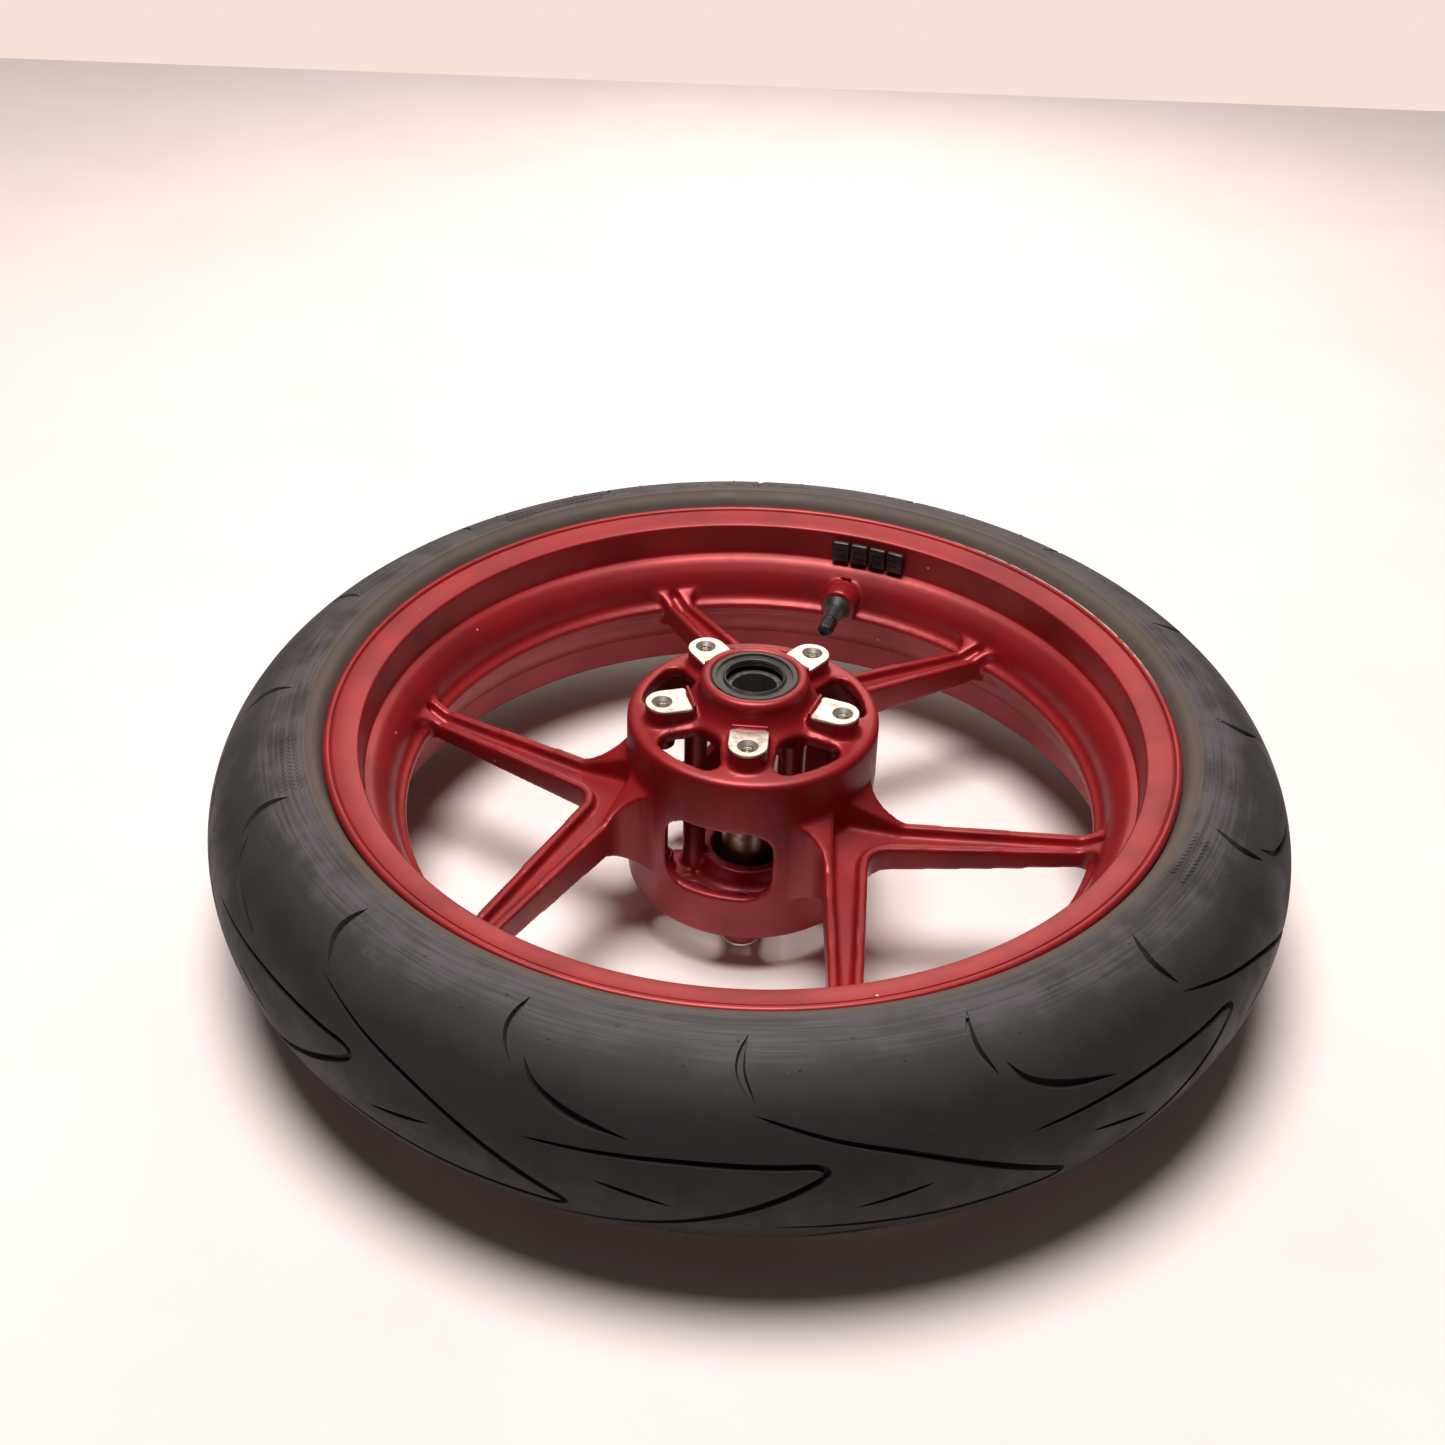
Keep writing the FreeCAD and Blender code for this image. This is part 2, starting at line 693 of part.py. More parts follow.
nodes = [casting, tyre]
bearingMiddle = d.shoulderHeight + d.bearingWidth / 2
grooveRadius = d.ballRadius + d.groovePlay
grooveHalf = root(grooveRadius * grooveRadius
                  - (d.pitchRadius - d.innerShoulder) * (d.pitchRadius - d.innerShoulder))
for side, sign in (("upper", 1), ("lower", -1)):
    middle = bearingMiddle * sign
    faceIn = d.shoulderHeight * sign
    faceOut = (d.shoulderHeight + d.bearingWidth) * sign
    grooveIn = middle - grooveHalf * sign
    grooveOut = middle + grooveHalf * sign
    nodes.append(turnedBody(f"{side}_bearing_outer_race", [
        (d.bearingBore, faceIn),
        (d.bearingBore, faceOut),
        (d.outerShoulder, faceOut),
        (d.outerShoulder, grooveOut, d.pitchRadius + grooveRadius, middle),
        (d.outerShoulder, grooveIn),
        (d.outerShoulder, faceIn),
    ]))
    nodes.append(turnedBody(f"{side}_bearing_inner_race", [
        (d.axleRadius, faceIn),
        (d.axleRadius, faceOut),
        (d.innerShoulder, faceOut),
        (d.innerShoulder, grooveOut, d.pitchRadius - grooveRadius, middle),
        (d.innerShoulder, grooveIn),
        (d.innerShoulder, faceIn),
    ]))
    balls = []
    pockets = []
    for ball in range(driving["ballCount"]):
        azimuth = asSize(ball) * 360 / d.ballCount
        balls.append(sphere(f"{side}Ball{ball}", d.ballRadius, d.pitchRadius, azimuth, middle))
        pockets.append(sphere(f"{side}Pocket{ball}", d.ballRadius + 0.12, d.pitchRadius,
                              azimuth, middle))
    nodes.append(compound(f"{side}_bearing_balls", balls))
    crown = revolve(f"{side}CageCrown", ring(d.pitchRadius - 1.2, d.pitchRadius + 1.2,
                                             middle - 1.2 * sign, middle + 4.6 * sign))
    cage = cut(f"{side}Cage", crown, fuse(f"{side}CagePockets", pockets))
    cage.Label = f"{side}_bearing_cage"
    nodes.append(cage)
    shields = [
        revolve(f"{side}Shield{number}", ring(d.innerShoulder + 0.3, d.outerShoulder,
                                              height, height + 0.4 * sign))
        for number, height in enumerate((faceIn + 0.3 * sign, faceOut - 0.7 * sign))
    ]
    nodes.append(compound(f"{side}_bearing_shields", shields))
    top = d.sealTop * sign
    base = (d.sealTop - d.sealThickness) * sign
    nodes.append(turnedBody(f"{side}_dust_seal", [
        (d.bearingBore, base),
        (d.bearingBore, top - 0.5 * sign),
        (d.bearingBore - 0.5, top),
        (d.bearingBore - 2.7, top),
        (d.bearingBore - 3.2, top - 1.2 * sign),
        (d.sealLip + 1.9, top - 1.6 * sign),
        (d.sealLip + 0.7, top - 0.4 * sign),
        (d.sealLip + 0.1, top - 0.6 * sign),
        (d.sealLip + 0.4, top - 2.2 * sign),
        (d.sealLip, base + 1.2 * sign),
        (d.springRadius - d.springWire, base),
        (d.springRadius - d.springWire, top - 2.8 * sign),
        (d.bearingBore - 2.9, top - 2.4 * sign),
        (d.bearingBore - 2.9, base),
    ]))
    spring = doc.addObject("Part::Torus", f"{side}SealSpring")
    bind(spring, Radius1=d.springRadius, Radius2=d.springWire - 0.02,
         Placement__Base__z=base + 1.0 * sign)
    spring.Label = f"{side}_seal_spring"
    nodes.append(spring)

nodes.append(turnedBody("distance_collar", ring(d.axleRadius, d.collarRadius,
                                                -d.shoulderHeight, d.shoulderHeight)))

ringInner = d.bearingBore - 2.2
ringOuter = d.bearingBore + d.ringDepth - 0.1
gapAngle = Size(14.0, "14")
ringOutline = [
    (ringOuter * cosine(gapAngle), ringOuter * sine(gapAngle), -ringOuter, 0),
    (ringOuter * cosine(gapAngle), -ringOuter * sine(gapAngle)),
    (ringInner * cosine(gapAngle), -ringInner * sine(gapAngle), -ringInner, 0),
    (ringInner * cosine(gapAngle), ringInner * sine(gapAngle)),
]
ringBase = d.shoulderHeight + d.bearingWidth
circlip = extrude("circlip", freeSketch("circlipOutline", ringOutline),
                  -(ringBase + 0.05), ringBase + d.ringThickness - 0.05)
circlip.Label = "retaining_ring"
nodes.append(circlip)

# ---- valve ----------------------------------------------------------------------------
# Each piece is turned about its own +Z, which then points away from the axle: its height
# is its distance from the axle.

seat = d.valveSeat
tip = d.valveTip
stemRadius = 3.85
stemBore = 2.2
valvePlace = Placement(
    Vector(0, 0, driving["valveHeight"]),
    Rotation(Vector(0, 0, 1), driving["valveAzimuth"]) * Rotation(Vector(0, 1, 0), 90),
)
valvePieces = [
    turnedBody("valve_body", [
        (stemRadius - 0.5, tip + 10),
        (stemRadius + 0.9, tip + 10),
        (stemRadius + 1.8, seat - 6),
        (d.valveHole + 1.4, seat - 3.2),
        (d.valveHole + 2.8, seat - 1.2),
        (d.valveHole + 2.8, seat - 0.02),
        (d.valveHole - 0.05, seat - 0.02),
        (d.valveHole - 0.05, seat + d.valveSeatWall + 0.02),
        (d.valvePocket - 0.6, seat + d.valveSeatWall + 0.02),
        (d.valvePocket - 0.9, seat + d.valveSeatWall + 3.0),
        (d.valveHole + 1.2, seat + 13),
        (stemRadius - 0.5, seat + 13),
    ]),
    turnedBody("valve_stem", [
        (stemBore, tip),
        (stemRadius - 0.4, tip),
        (stemRadius, tip + 0.5),
        (stemRadius, tip + 9.9),
        (stemRadius - 0.5, tip + 9.9),
        (stemRadius - 0.5, seat + 13),
        (stemBore, seat + 13),
    ]),
    turnedBody("valve_core", ring(0.75, stemBore, tip + 1, tip + 8)),
    turnedBody("valve_core_spring", ring(0.85, 1.9, tip + 8.1, tip + 13)),
]
valvePin = turnedBody("valve_pin", [
    (0, tip + 0.3),
    (0.7, tip + 0.3),
    (0.7, tip + 14.4),
    (1.9, tip + 14.4),
    (1.9, tip + 16),
    (0, tip + 16),
])
capInner = stemRadius + 0.05
valveCap = turnedBody("valve_cap", [
    (0, tip - 3.2),
    (3.8, tip - 3.2),
    (5.0, tip - 2.0),
    (5.0, tip + 9.4),
    (capInner, tip + 9.4),
    (capInner, tip - 1.2),
    (0, tip - 1.2),
])
for piece in valvePieces + [valvePin, valveCap]:
    piece.Placement = valvePlace
    nodes.append(piece)

# ---- balance weights -------------------------------------------------------------------

weights = []
for number in range(driving["weightCount"]):
    block = doc.addObject("Part::Box", f"weightBlock{number}")
    bind(block, Length=d.weightThickness, Width=d.weightWidth, Height=d.weightHeight)
    azimuth = d.weightAzimuth + d.weightPitch * (number - (d.weightCount - 1) / 2)
    inward = d.wallRadius - 0.05 - d.weightThickness
    block.Placement = Placement(Vector(), Rotation(Vector(0, 0, 1), 1))
    bind(block, Placement__Rotation__Angle=azimuth,
         Placement__Base__x=inward * cosine(azimuth) + d.weightWidth / 2 * sine(azimuth),
         Placement__Base__y=inward * sine(azimuth) - d.weightWidth / 2 * cosine(azimuth),
         Placement__Base__z=d.weightCentre - d.weightHeight / 2)
    soft = doc.addObject("Part::Fillet", f"weight{number}")
    soft.Base = block
    soft.Edges = [(edge, 0.8, 0.8) for edge in range(1, 13)]
    weights.append(soft)
nodes.append(compound("balance_weights", weights))

# ---- checks and export -----------------------------------------------------------------

doc.recompute()
for thing in doc.Objects:
    if {"Invalid", "Error"} & set(thing.State):
        raise RuntimeError(f"{thing.Label} did not compute")
for node in nodes:
    if node.Shape.isNull() or not node.Shape.isValid():
        raise RuntimeError(f"{node.Label} has no valid shape")
if len(casting.Shape.Solids) != 1:
    raise RuntimeError("the casting must be one solid")

os.makedirs("parts", exist_ok=True)
for node in nodes:
    node.Shape.exportStep(f"parts/{node.Label}.step")
    print(f"{node.Label}: {len(node.Shape.Solids)} solids, {node.Shape.Volume / 1000:.2f} cm3")
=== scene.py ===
import json
import math

import bmesh
import bpy
from mathutils import Matrix, Vector


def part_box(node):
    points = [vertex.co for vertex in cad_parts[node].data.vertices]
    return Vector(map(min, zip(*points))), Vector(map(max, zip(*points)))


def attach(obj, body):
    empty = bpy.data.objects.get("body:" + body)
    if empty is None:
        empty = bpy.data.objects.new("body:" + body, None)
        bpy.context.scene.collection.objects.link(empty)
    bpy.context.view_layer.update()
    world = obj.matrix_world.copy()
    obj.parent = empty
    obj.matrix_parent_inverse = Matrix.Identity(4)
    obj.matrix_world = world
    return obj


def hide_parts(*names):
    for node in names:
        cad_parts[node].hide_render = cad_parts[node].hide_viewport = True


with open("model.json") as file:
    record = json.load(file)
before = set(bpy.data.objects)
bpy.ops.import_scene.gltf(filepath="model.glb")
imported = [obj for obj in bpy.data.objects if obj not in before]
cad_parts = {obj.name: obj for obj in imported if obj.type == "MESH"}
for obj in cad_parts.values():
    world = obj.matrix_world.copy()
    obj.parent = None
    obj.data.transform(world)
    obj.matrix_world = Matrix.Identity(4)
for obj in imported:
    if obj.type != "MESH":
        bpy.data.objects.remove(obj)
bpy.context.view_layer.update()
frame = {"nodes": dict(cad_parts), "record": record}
mm = 0.001

# Small tools.


def hexColor(code):
    # An sRGB hex value as linear red, green, blue and alpha.
    channels = [int(code[i:i + 2], 16) / 255 for i in (1, 3, 5)]
    linear = [c / 12.92 if c <= 0.04045 else ((c + 0.055) / 1.055) ** 2.4 for c in channels]
    return (*linear, 1.0)


def addNode(tree, kind, settings=None, links=None):
    # A node with its settings and incoming links. A key is an input's name or number, else a property.
    node = tree.nodes.new(kind)
    for key, value in (settings or {}).items():
        if isinstance(key, str) and key in node.bl_rna.properties:
            setattr(node, key, value)
    for key, value in (settings or {}).items():
        if not isinstance(key, str) or key not in node.bl_rna.properties:
            node.inputs[key].default_value = value
    for key, source in (links or {}).items():
        tree.links.new(source, node.inputs[key])
    return node


def perMm(size):
    # The scale that makes a pattern repeat about every "size" millimetres on Object coordinates.
    return 1000.0 / size


def meshObject(name, points, faces):
    mesh = bpy.data.meshes.new(name)
    mesh.from_pydata([tuple(p) for p in points], [], faces)
    mesh.update()
    thing = bpy.data.objects.new(name, mesh)
    bpy.context.scene.collection.objects.link(thing)
    return thing


def blockObject(name, xs, ys, zs):
    # A box between pairs of x, y and z.
    points = [(x, y, z) for x in xs for y in ys for z in zs]
    thing = meshObject(name, points, [(0, 1, 3, 2), (4, 6, 7, 5), (0, 4, 5, 1), (2, 3, 7, 6), (0, 2, 6, 4),
                                      (1, 5, 7, 3)])
    pointOutward(thing.data)
    return thing


def bevelled(thing, width, segments):
    step = thing.modifiers.new("round", "BEVEL")
    step.width, step.segments = width * mm, segments
    return applied(thing)


def pointOutward(mesh):
    work = bmesh.new()
    work.from_mesh(mesh)
    bmesh.ops.recalc_face_normals(work, faces=work.faces)
    work.to_mesh(mesh)
    work.free()


def smoothUnder(mesh, degrees):
    # Smooth shading, with edges sharper than the angle kept crisp.
    mesh.polygons.foreach_set("use_smooth", [True] * len(mesh.polygons))
    mesh.set_sharp_from_angle(angle=math.radians(degrees))


def arc(start, middle, end, steps):
    # Points along the circle through three points, without the last one.
    (ax, ay), (bx, by), (cx, cy) = start, middle, end
    area = 2 * (ax * (by - cy) + bx * (cy - ay) + cx * (ay - by))
    a2, b2, c2 = ax * ax + ay * ay, bx * bx + by * by, cx * cx + cy * cy
    ox = (a2 * (by - cy) + b2 * (cy - ay) + c2 * (ay - by)) / area
    oy = (a2 * (cx - bx) + b2 * (ax - cx) + c2 * (bx - ax)) / area
    radius = math.hypot(ax - ox, ay - oy)
    first, half, last = (math.atan2(y - oy, x - ox) for x, y in (start, middle, end))
    turn = math.tau if (half - first) % math.tau < (last - first) % math.tau else -math.tau
    sweep = (last - first) % turn
    angles = [first + sweep * i / steps for i in range(steps)]
    return [(ox + radius * math.cos(a), oy + radius * math.sin(a)) for a in angles]


def lathe(name, outline, segments, smooth=35):
    # A closed outline of (radius, height) in millimetres, turned about the axle's axis.
    points, faces, count = [], [], len(outline)
    for i in range(segments):
        a = math.tau * i / segments
        points += [(r * mm * math.cos(a), r * mm * math.sin(a), z * mm) for r, z in outline]
    for i in range(segments):
        here, there = i * count, (i + 1) % segments * count
        for j in range(count):
            k = (j + 1) % count
            faces.append((here + j, there + j, there + k, here + k))
    thing = meshObject(name, points, faces)
    pointOutward(thing.data)
    smoothUnder(thing.data, smooth)
    return thing


def applied(thing):
    # The evaluated mesh takes the place of the object's own, and its modifiers go.
    shown = thing.evaluated_get(bpy.context.evaluated_depsgraph_get())
    mesh = bpy.data.meshes.new_from_object(shown)
    thing.modifiers.clear()
    thing.data = mesh
    return thing


def boolean(thing, tool, operation):
    step = thing.modifiers.new("boolean", "BOOLEAN")
    step.operation, step.object, step.solver = operation, tool, "MANIFOLD"
    applied(thing)
    bpy.data.objects.remove(tool)
    return thing


def aroundAxleTree():
    # Geometry Nodes that repeat a piece around the axle's axis at an even pitch.
    tree = bpy.data.node_groups.new("aroundAxle", "GeometryNodeTree")
    face = tree.interface
    face.new_socket("Geometry", in_out="INPUT", socket_type="NodeSocketGeometry")
    for name, kind, value in (("Count", "Int", 5), ("First Angle", "Float", 0.0), ("Pitch", "Float", 72.0),
                              ("Turn Jitter", "Float", 0.0), ("Seed", "Int", 1)):
        face.new_socket(name, in_out="INPUT", socket_type="NodeSocket" + kind).default_value = value
    face.new_socket("Finish", in_out="INPUT", socket_type="NodeSocketMaterial")
    face.new_socket("Geometry", in_out="OUTPUT", socket_type="NodeSocketGeometry")
    given = addNode(tree, "NodeGroupInput").outputs
    spots = addNode(tree, "GeometryNodePoints", None, {"Count": given["Count"]})
    index = addNode(tree, "GeometryNodeInputIndex")
    jitter = addNode(tree, "FunctionNodeRandomValue", {"data_type": "FLOAT"}, {"Seed": given["Seed"]})
    tree.links.new(given["Turn Jitter"], jitter.inputs[3])
    turned = addNode(tree, "ShaderNodeMath", {"operation": "MULTIPLY_ADD"},
                     {0: index.outputs[0], 1: given["Pitch"], 2: given["First Angle"]})
    shifted = addNode(tree, "ShaderNodeMath", {"operation": "ADD"},
                      {0: turned.outputs[0], 1: jitter.outputs[1]})
    radians = addNode(tree, "ShaderNodeMath", {"operation": "RADIANS"}, {0: shifted.outputs[0]})
    spin = addNode(tree, "ShaderNodeCombineXYZ", None, {"Z": radians.outputs[0]})
    copies = addNode(tree, "GeometryNodeInstanceOnPoints", None,
                     {"Points": spots.outputs[0], "Instance": given["Geometry"], "Rotation": spin.outputs[0]})
    real = addNode(tree, "GeometryNodeRealizeInstances", None, {"Geometry": copies.outputs[0]})
    finish = addNode(tree, "GeometryNodeSetMaterial", None,
                     {"Geometry": real.outputs[0], "Material": given["Finish"]})
    addNode(tree, "NodeGroupOutput", None, {"Geometry": finish.outputs[0]})
    return tree


aroundAxle = aroundAxleTree()


def repeatAround(thing, count, first, pitch, finish=None, jitter=0.0, seed=1):
    step = thing.modifiers.new("around", "NODES")
    step.node_group = aroundAxle
    values = {"Count": count, "First Angle": first, "Pitch": pitch, "Turn Jitter": jitter, "Seed": seed,
              "Finish": finish}
    for item in aroundAxle.interface.items_tree:
        if item.in_out == "INPUT" and item.name in values and values[item.name] is not None:
            step[item.identifier] = values[item.name]
    return applied(thing)


def joined(name, things):
    # Several meshes made one, so that they are one piece.
    work = bmesh.new()
    for thing in things:
        work.from_mesh(thing.data)
    mesh = bpy.data.meshes.new(name)
    work.to_mesh(mesh)
    work.free()
    finish = things[0].data.materials[:]
    for thing in things:
        bpy.data.objects.remove(thing)
    whole = bpy.data.objects.new(name, mesh)
    bpy.context.scene.collection.objects.link(whole)
    for material in finish:
        mesh.materials.append(material)
    return whole


def flippedOver(thing, name):
    # The same piece on the wheel's other face.
    other = bpy.data.objects.new(name, thing.data.copy())
    bpy.context.scene.collection.objects.link(other)
    other.data.transform(Matrix.Diagonal((1, 1, -1, 1)))
    other.data.flip_normals()
    return other


def place(piece, body, slot, material, replaced=()):
    piece.data.materials.clear()
    piece.data.materials.append(material)
    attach(piece, body)
    if replaced:
        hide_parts(*replaced)


# Materials.


def newMaterial(name, color, metallic, roughness, **sockets):
    # A material with its shader; the constant finish values go on the shader's own sockets.
    material = bpy.data.materials.new(name)
    material.use_nodes = True
    tree = material.node_tree
    shader = tree.nodes["Principled BSDF"]
    shader.inputs["Base Color"].default_value = hexColor(color)
    shader.inputs["Metallic"].default_value = metallic
    shader.inputs["Roughness"].default_value = roughness
    for key, value in sockets.items():
        shader.inputs[key].default_value = value
    coords = addNode(tree, "ShaderNodeTexCoord").outputs["Object"]
    return material, tree, shader, coords


def blendColors(tree, amount, first, second):
    # Two colours mixed by a factor; each is a hex value or a socket.
    mix = addNode(tree, "ShaderNodeMix", {"data_type": "RGBA"})
    tree.links.new(amount, mix.inputs["Factor"])
    for socket, value in ((mix.inputs[6], first), (mix.inputs[7], second)):
        if isinstance(value, str):
            socket.default_value = hexColor(value)
        else:
            tree.links.new(value, socket)
    return mix.outputs[2]


def noise(tree, coords, size, detail=3.0, rough=0.55):
    return addNode(tree, "ShaderNodeTexNoise", {"Scale": perMm(size), "Detail": detail, "Roughness": rough},
                   {"Vector": coords}).outputs["Fac"]


def between(tree, value, low, high, start=0.0, end=1.0):
    # The value carried from one range to another and held at its ends.
    span = addNode(tree, "ShaderNodeMapRange", {"From Min": low, "From Max": high, "To Min": start,
                                                "To Max": end, "interpolation_type": "SMOOTHSTEP"},
                   {"Value": value})
    return span.outputs["Result"]


def calculate(tree, operation, *values):
    node = addNode(tree, "ShaderNodeMath", {"operation": operation})
    for i, value in enumerate(values):
        if isinstance(value, (int, float)):
            node.inputs[i].default_value = value
        else:
            tree.links.new(value, node.inputs[i])
    return node.outputs[0]


def cylindrical(tree, coords):
    # Radius in metres, angle in radians from +X, and height.
    apart = addNode(tree, "ShaderNodeSeparateXYZ", None, {"Vector": coords}).outputs
    radius = calculate(tree, "SQRT", calculate(tree, "ADD", calculate(tree, "MULTIPLY", apart[0], apart[0]),
                                               calculate(tree, "MULTIPLY", apart[1], apart[1])))
    return radius, calculate(tree, "ARCTAN2", apart[1], apart[0]), apart[2]


def bump(tree, shader, height, strength, distance):
    node = addNode(tree, "ShaderNodeBump", {"Strength": strength, "Distance": distance * mm},
                   {"Height": height})
    tree.links.new(node.outputs["Normal"], shader.inputs["Normal"])


def satinRedPaint():
    # Powder-coated cast aluminium: a deep metallic red under a satin clear coat, which spreads
    # the light into a wide pinkish sheen and shows the casting's faint orange peel.
    look = {"base": "#92131A", "deep": "#7A0C12", "dust": "#A8736A", "metal": "#C9C2B8",
            "wornAt": 0.62, "wornFade": 0.50, "wornFull": 0.26, "edgeRadius": 0.2290, "edgeHeight": 0.0495,
            "chipSpacing": 19}
    material, tree, shader, coords = newMaterial(
        "satin red powder coat", look["base"], 0.35, 0.44,
        **{"Coat Weight": 0.16, "Coat Roughness": 0.38})
    radius, angle, height = cylindrical(tree, coords)
    cloud = between(tree, noise(tree, coords, 46, 4.0), 0.35, 0.7)
    color = blendColors(tree, cloud, look["base"], look["deep"])
    grains = noise(tree, coords, 2.2, 4.0, 0.7)  # road dust caught in the coat
    color = blendColors(tree, between(tree, grains, 0.64, 0.8, 0.0, 0.22), color, look["dust"])
    # The rim flange's outer edge is rubbed to bare metal where tyre levers have worked.
    lip = between(tree, radius, look["edgeRadius"], look["edgeRadius"] + 0.0007)
    away = calculate(tree, "ABSOLUTE", calculate(tree, "SUBTRACT", angle, look["wornAt"]))
    worked = between(tree, away, look["wornFade"], look["wornFull"])
    upper = between(tree, height, look["edgeHeight"], look["edgeHeight"] + 0.0013)
    ragged = between(tree, noise(tree, coords, 5.0, 4.0, 0.7), 0.36, 0.50)
    bare = calculate(tree, "MULTIPLY", calculate(tree, "MULTIPLY", lip, worked),
                     calculate(tree, "MULTIPLY", upper, ragged))
    # Small chips through the coat, mostly on edges.
    spots = addNode(tree, "ShaderNodeTexVoronoi", {"Scale": perMm(look["chipSpacing"]), "Randomness": 1.0},
                    {"Vector": coords}).outputs["Distance"]
    chips = calculate(tree, "MULTIPLY", between(tree, spots, 0.045, 0.03),
                      between(tree, noise(tree, coords, 70), 0.52, 0.56))
    bare = calculate(tree, "MAXIMUM", bare, calculate(tree, "MULTIPLY", chips, 0.8))
    color = blendColors(tree, bare, color, look["metal"])
    tree.links.new(color, shader.inputs["Base Color"])
    tree.links.new(calculate(tree, "MULTIPLY_ADD", cloud, 0.08, 0.42), shader.inputs["Roughness"])
    peel = calculate(tree, "ADD", noise(tree, coords, 1.6, 2.0), calculate(tree, "MULTIPLY", bare, -1.5))
    bump(tree, shader, peel, 0.30, 0.12)
    return material


def tyreRubber():
    # Moulded and road-worn tyre rubber: near black on the tread, lighter and bluish where the
    # shoulder was scrubbed, brown with dust beside the rim, with fine scuffs round the wheel.
    look = {"tread": "#262424", "side": "#322F2E", "scrubbed": "#524D50", "dust": "#5A5049",
            "grit": "#8C8177", "centre": 0.2362}  # the section circle's centre, in metres
    material, tree, shader, coords = newMaterial("moulded tyre rubber", look["tread"], 0.0, 0.62,
                                                 **{"Specular IOR Level": 0.20})
    radius, angle, height = cylindrical(tree, coords)
    reach = calculate(tree, "SUBTRACT", radius, look["centre"])
    lean = calculate(tree, "ARCTAN2", calculate(tree, "ABSOLUTE", height), reach)
    wander = calculate(tree, "MULTIPLY_ADD", noise(tree, coords, 38, 5.0, 0.6), 0.5, -0.25)
    leanRagged = calculate(tree, "ADD", lean, wander)
    color = blendColors(tree, between(tree, leanRagged, 0.62, 0.95), look["tread"], look["side"])
    # Long soft streaks round the tyre come from noise stretched along the turn.
    streak = addNode(tree, "ShaderNodeCombineXYZ", None,
                     {"X": calculate(tree, "MULTIPLY", angle, 0.006),
                      "Y": calculate(tree, "MULTIPLY", lean, 0.06),
                      "Z": calculate(tree, "MULTIPLY", height, 0.3)}).outputs[0]
    streaks = noise(tree, streak, 1.4, 5.0, 0.65)
    patches = noise(tree, coords, 30, 5.0, 0.62)
    mixed = calculate(tree, "ADD", calculate(tree, "MULTIPLY", streaks, 0.5),
                      calculate(tree, "MULTIPLY", patches, 0.5))
    scrub = calculate(tree, "MULTIPLY", between(tree, leanRagged, 0.95, 1.25),
                      between(tree, mixed, 0.40, 0.60, 0.15, 0.95))
    color = blendColors(tree, scrub, color, look["scrubbed"])
    near = between(tree, calculate(tree, "ADD", radius, calculate(tree, "MULTIPLY", wander, 0.010)),
                   0.2445, 0.2385)
    color = blendColors(tree, calculate(tree, "MULTIPLY", near, 0.8), color, look["dust"])
    specks = noise(tree, coords, 1.1, 3.0, 0.7)
    grit = calculate(tree, "MULTIPLY", between(tree, specks, 0.66, 0.78),
                     between(tree, noise(tree, coords, 55, 3.0), 0.44, 0.64, 0.05, 0.75))
    color = blendColors(tree, grit, color, look["grit"])
    tree.links.new(color, shader.inputs["Base Color"])
    tree.links.new(between(tree, patches, 0.3, 0.7, 0.50, 0.72), shader.inputs["Roughness"])
    lines = noise(tree, streak, 0.16, 3.0, 0.6)
    relief = calculate(tree, "ADD", calculate(tree, "MULTIPLY", noise(tree, coords, 0.9, 4.0, 0.65), 0.7),
                       calculate(tree, "MULTIPLY", lines, 0.5))
    bump(tree, shader, relief, 0.35, 0.16)
    return material


def machinedAluminium():
    # Bare aluminium faced on a mill: bright and warm, with fine turned lines about each seat.
    look = {"bright": "#DAD2C8", "dull": "#A89E94", "step": 0.55}
    material, tree, shader, coords = newMaterial("machined aluminium", look["bright"], 0.9, 0.34)
    lines = addNode(tree, "ShaderNodeTexWave", {"wave_type": "RINGS", "rings_direction": "Z",
                                                "Scale": perMm(look["step"]) / 20, "Distortion": 0.4,
                                                "Detail": 2.0}, {"Vector": coords}).outputs["Fac"]
    stain = between(tree, noise(tree, coords, 6.0, 4.0, 0.65), 0.45, 0.75)
    tree.links.new(blendColors(tree, stain, look["bright"], look["dull"]), shader.inputs["Base Color"])
    tree.links.new(calculate(tree, "MULTIPLY_ADD", stain, 0.18, 0.30), shader.inputs["Roughness"])
    bump(tree, shader, lines, 0.25, 0.05)
    return material


def plainMetal(name, color, worn, roughness, grain):
    # A worked metal: its colour drifts to a duller one, over a fine grain of the given size.
    material, tree, shader, coords = newMaterial(name, color, 1.0, roughness)
    drift = between(tree, noise(tree, coords, 7.0, 4.0, 0.6), 0.4, 0.72)
    tree.links.new(blendColors(tree, drift, color, worn), shader.inputs["Base Color"])
    tree.links.new(calculate(tree, "MULTIPLY_ADD", drift, 0.15, roughness), shader.inputs["Roughness"])
    bump(tree, shader, noise(tree, coords, grain, 2.0), 0.2, 0.04)
    return material


def plainRubber(name, color, worn, roughness, grain, sheen=0.1):
    # A moulded rubber or plastic: slightly mottled, dusty in patches, with a fine pitted skin.
    material, tree, shader, coords = newMaterial(name, color, 0.0, roughness, **{"Sheen Weight": sheen})
    dusty = between(tree, noise(tree, coords, 5.0, 5.0, 0.65), 0.45, 0.8, 0.0, 0.85)
    tree.links.new(blendColors(tree, dusty, color, worn), shader.inputs["Base Color"])
    tree.links.new(calculate(tree, "MULTIPLY_ADD", dusty, 0.2, roughness), shader.inputs["Roughness"])
    bump(tree, shader, noise(tree, coords, grain, 3.0, 0.6), 0.3, 0.06)
    return material


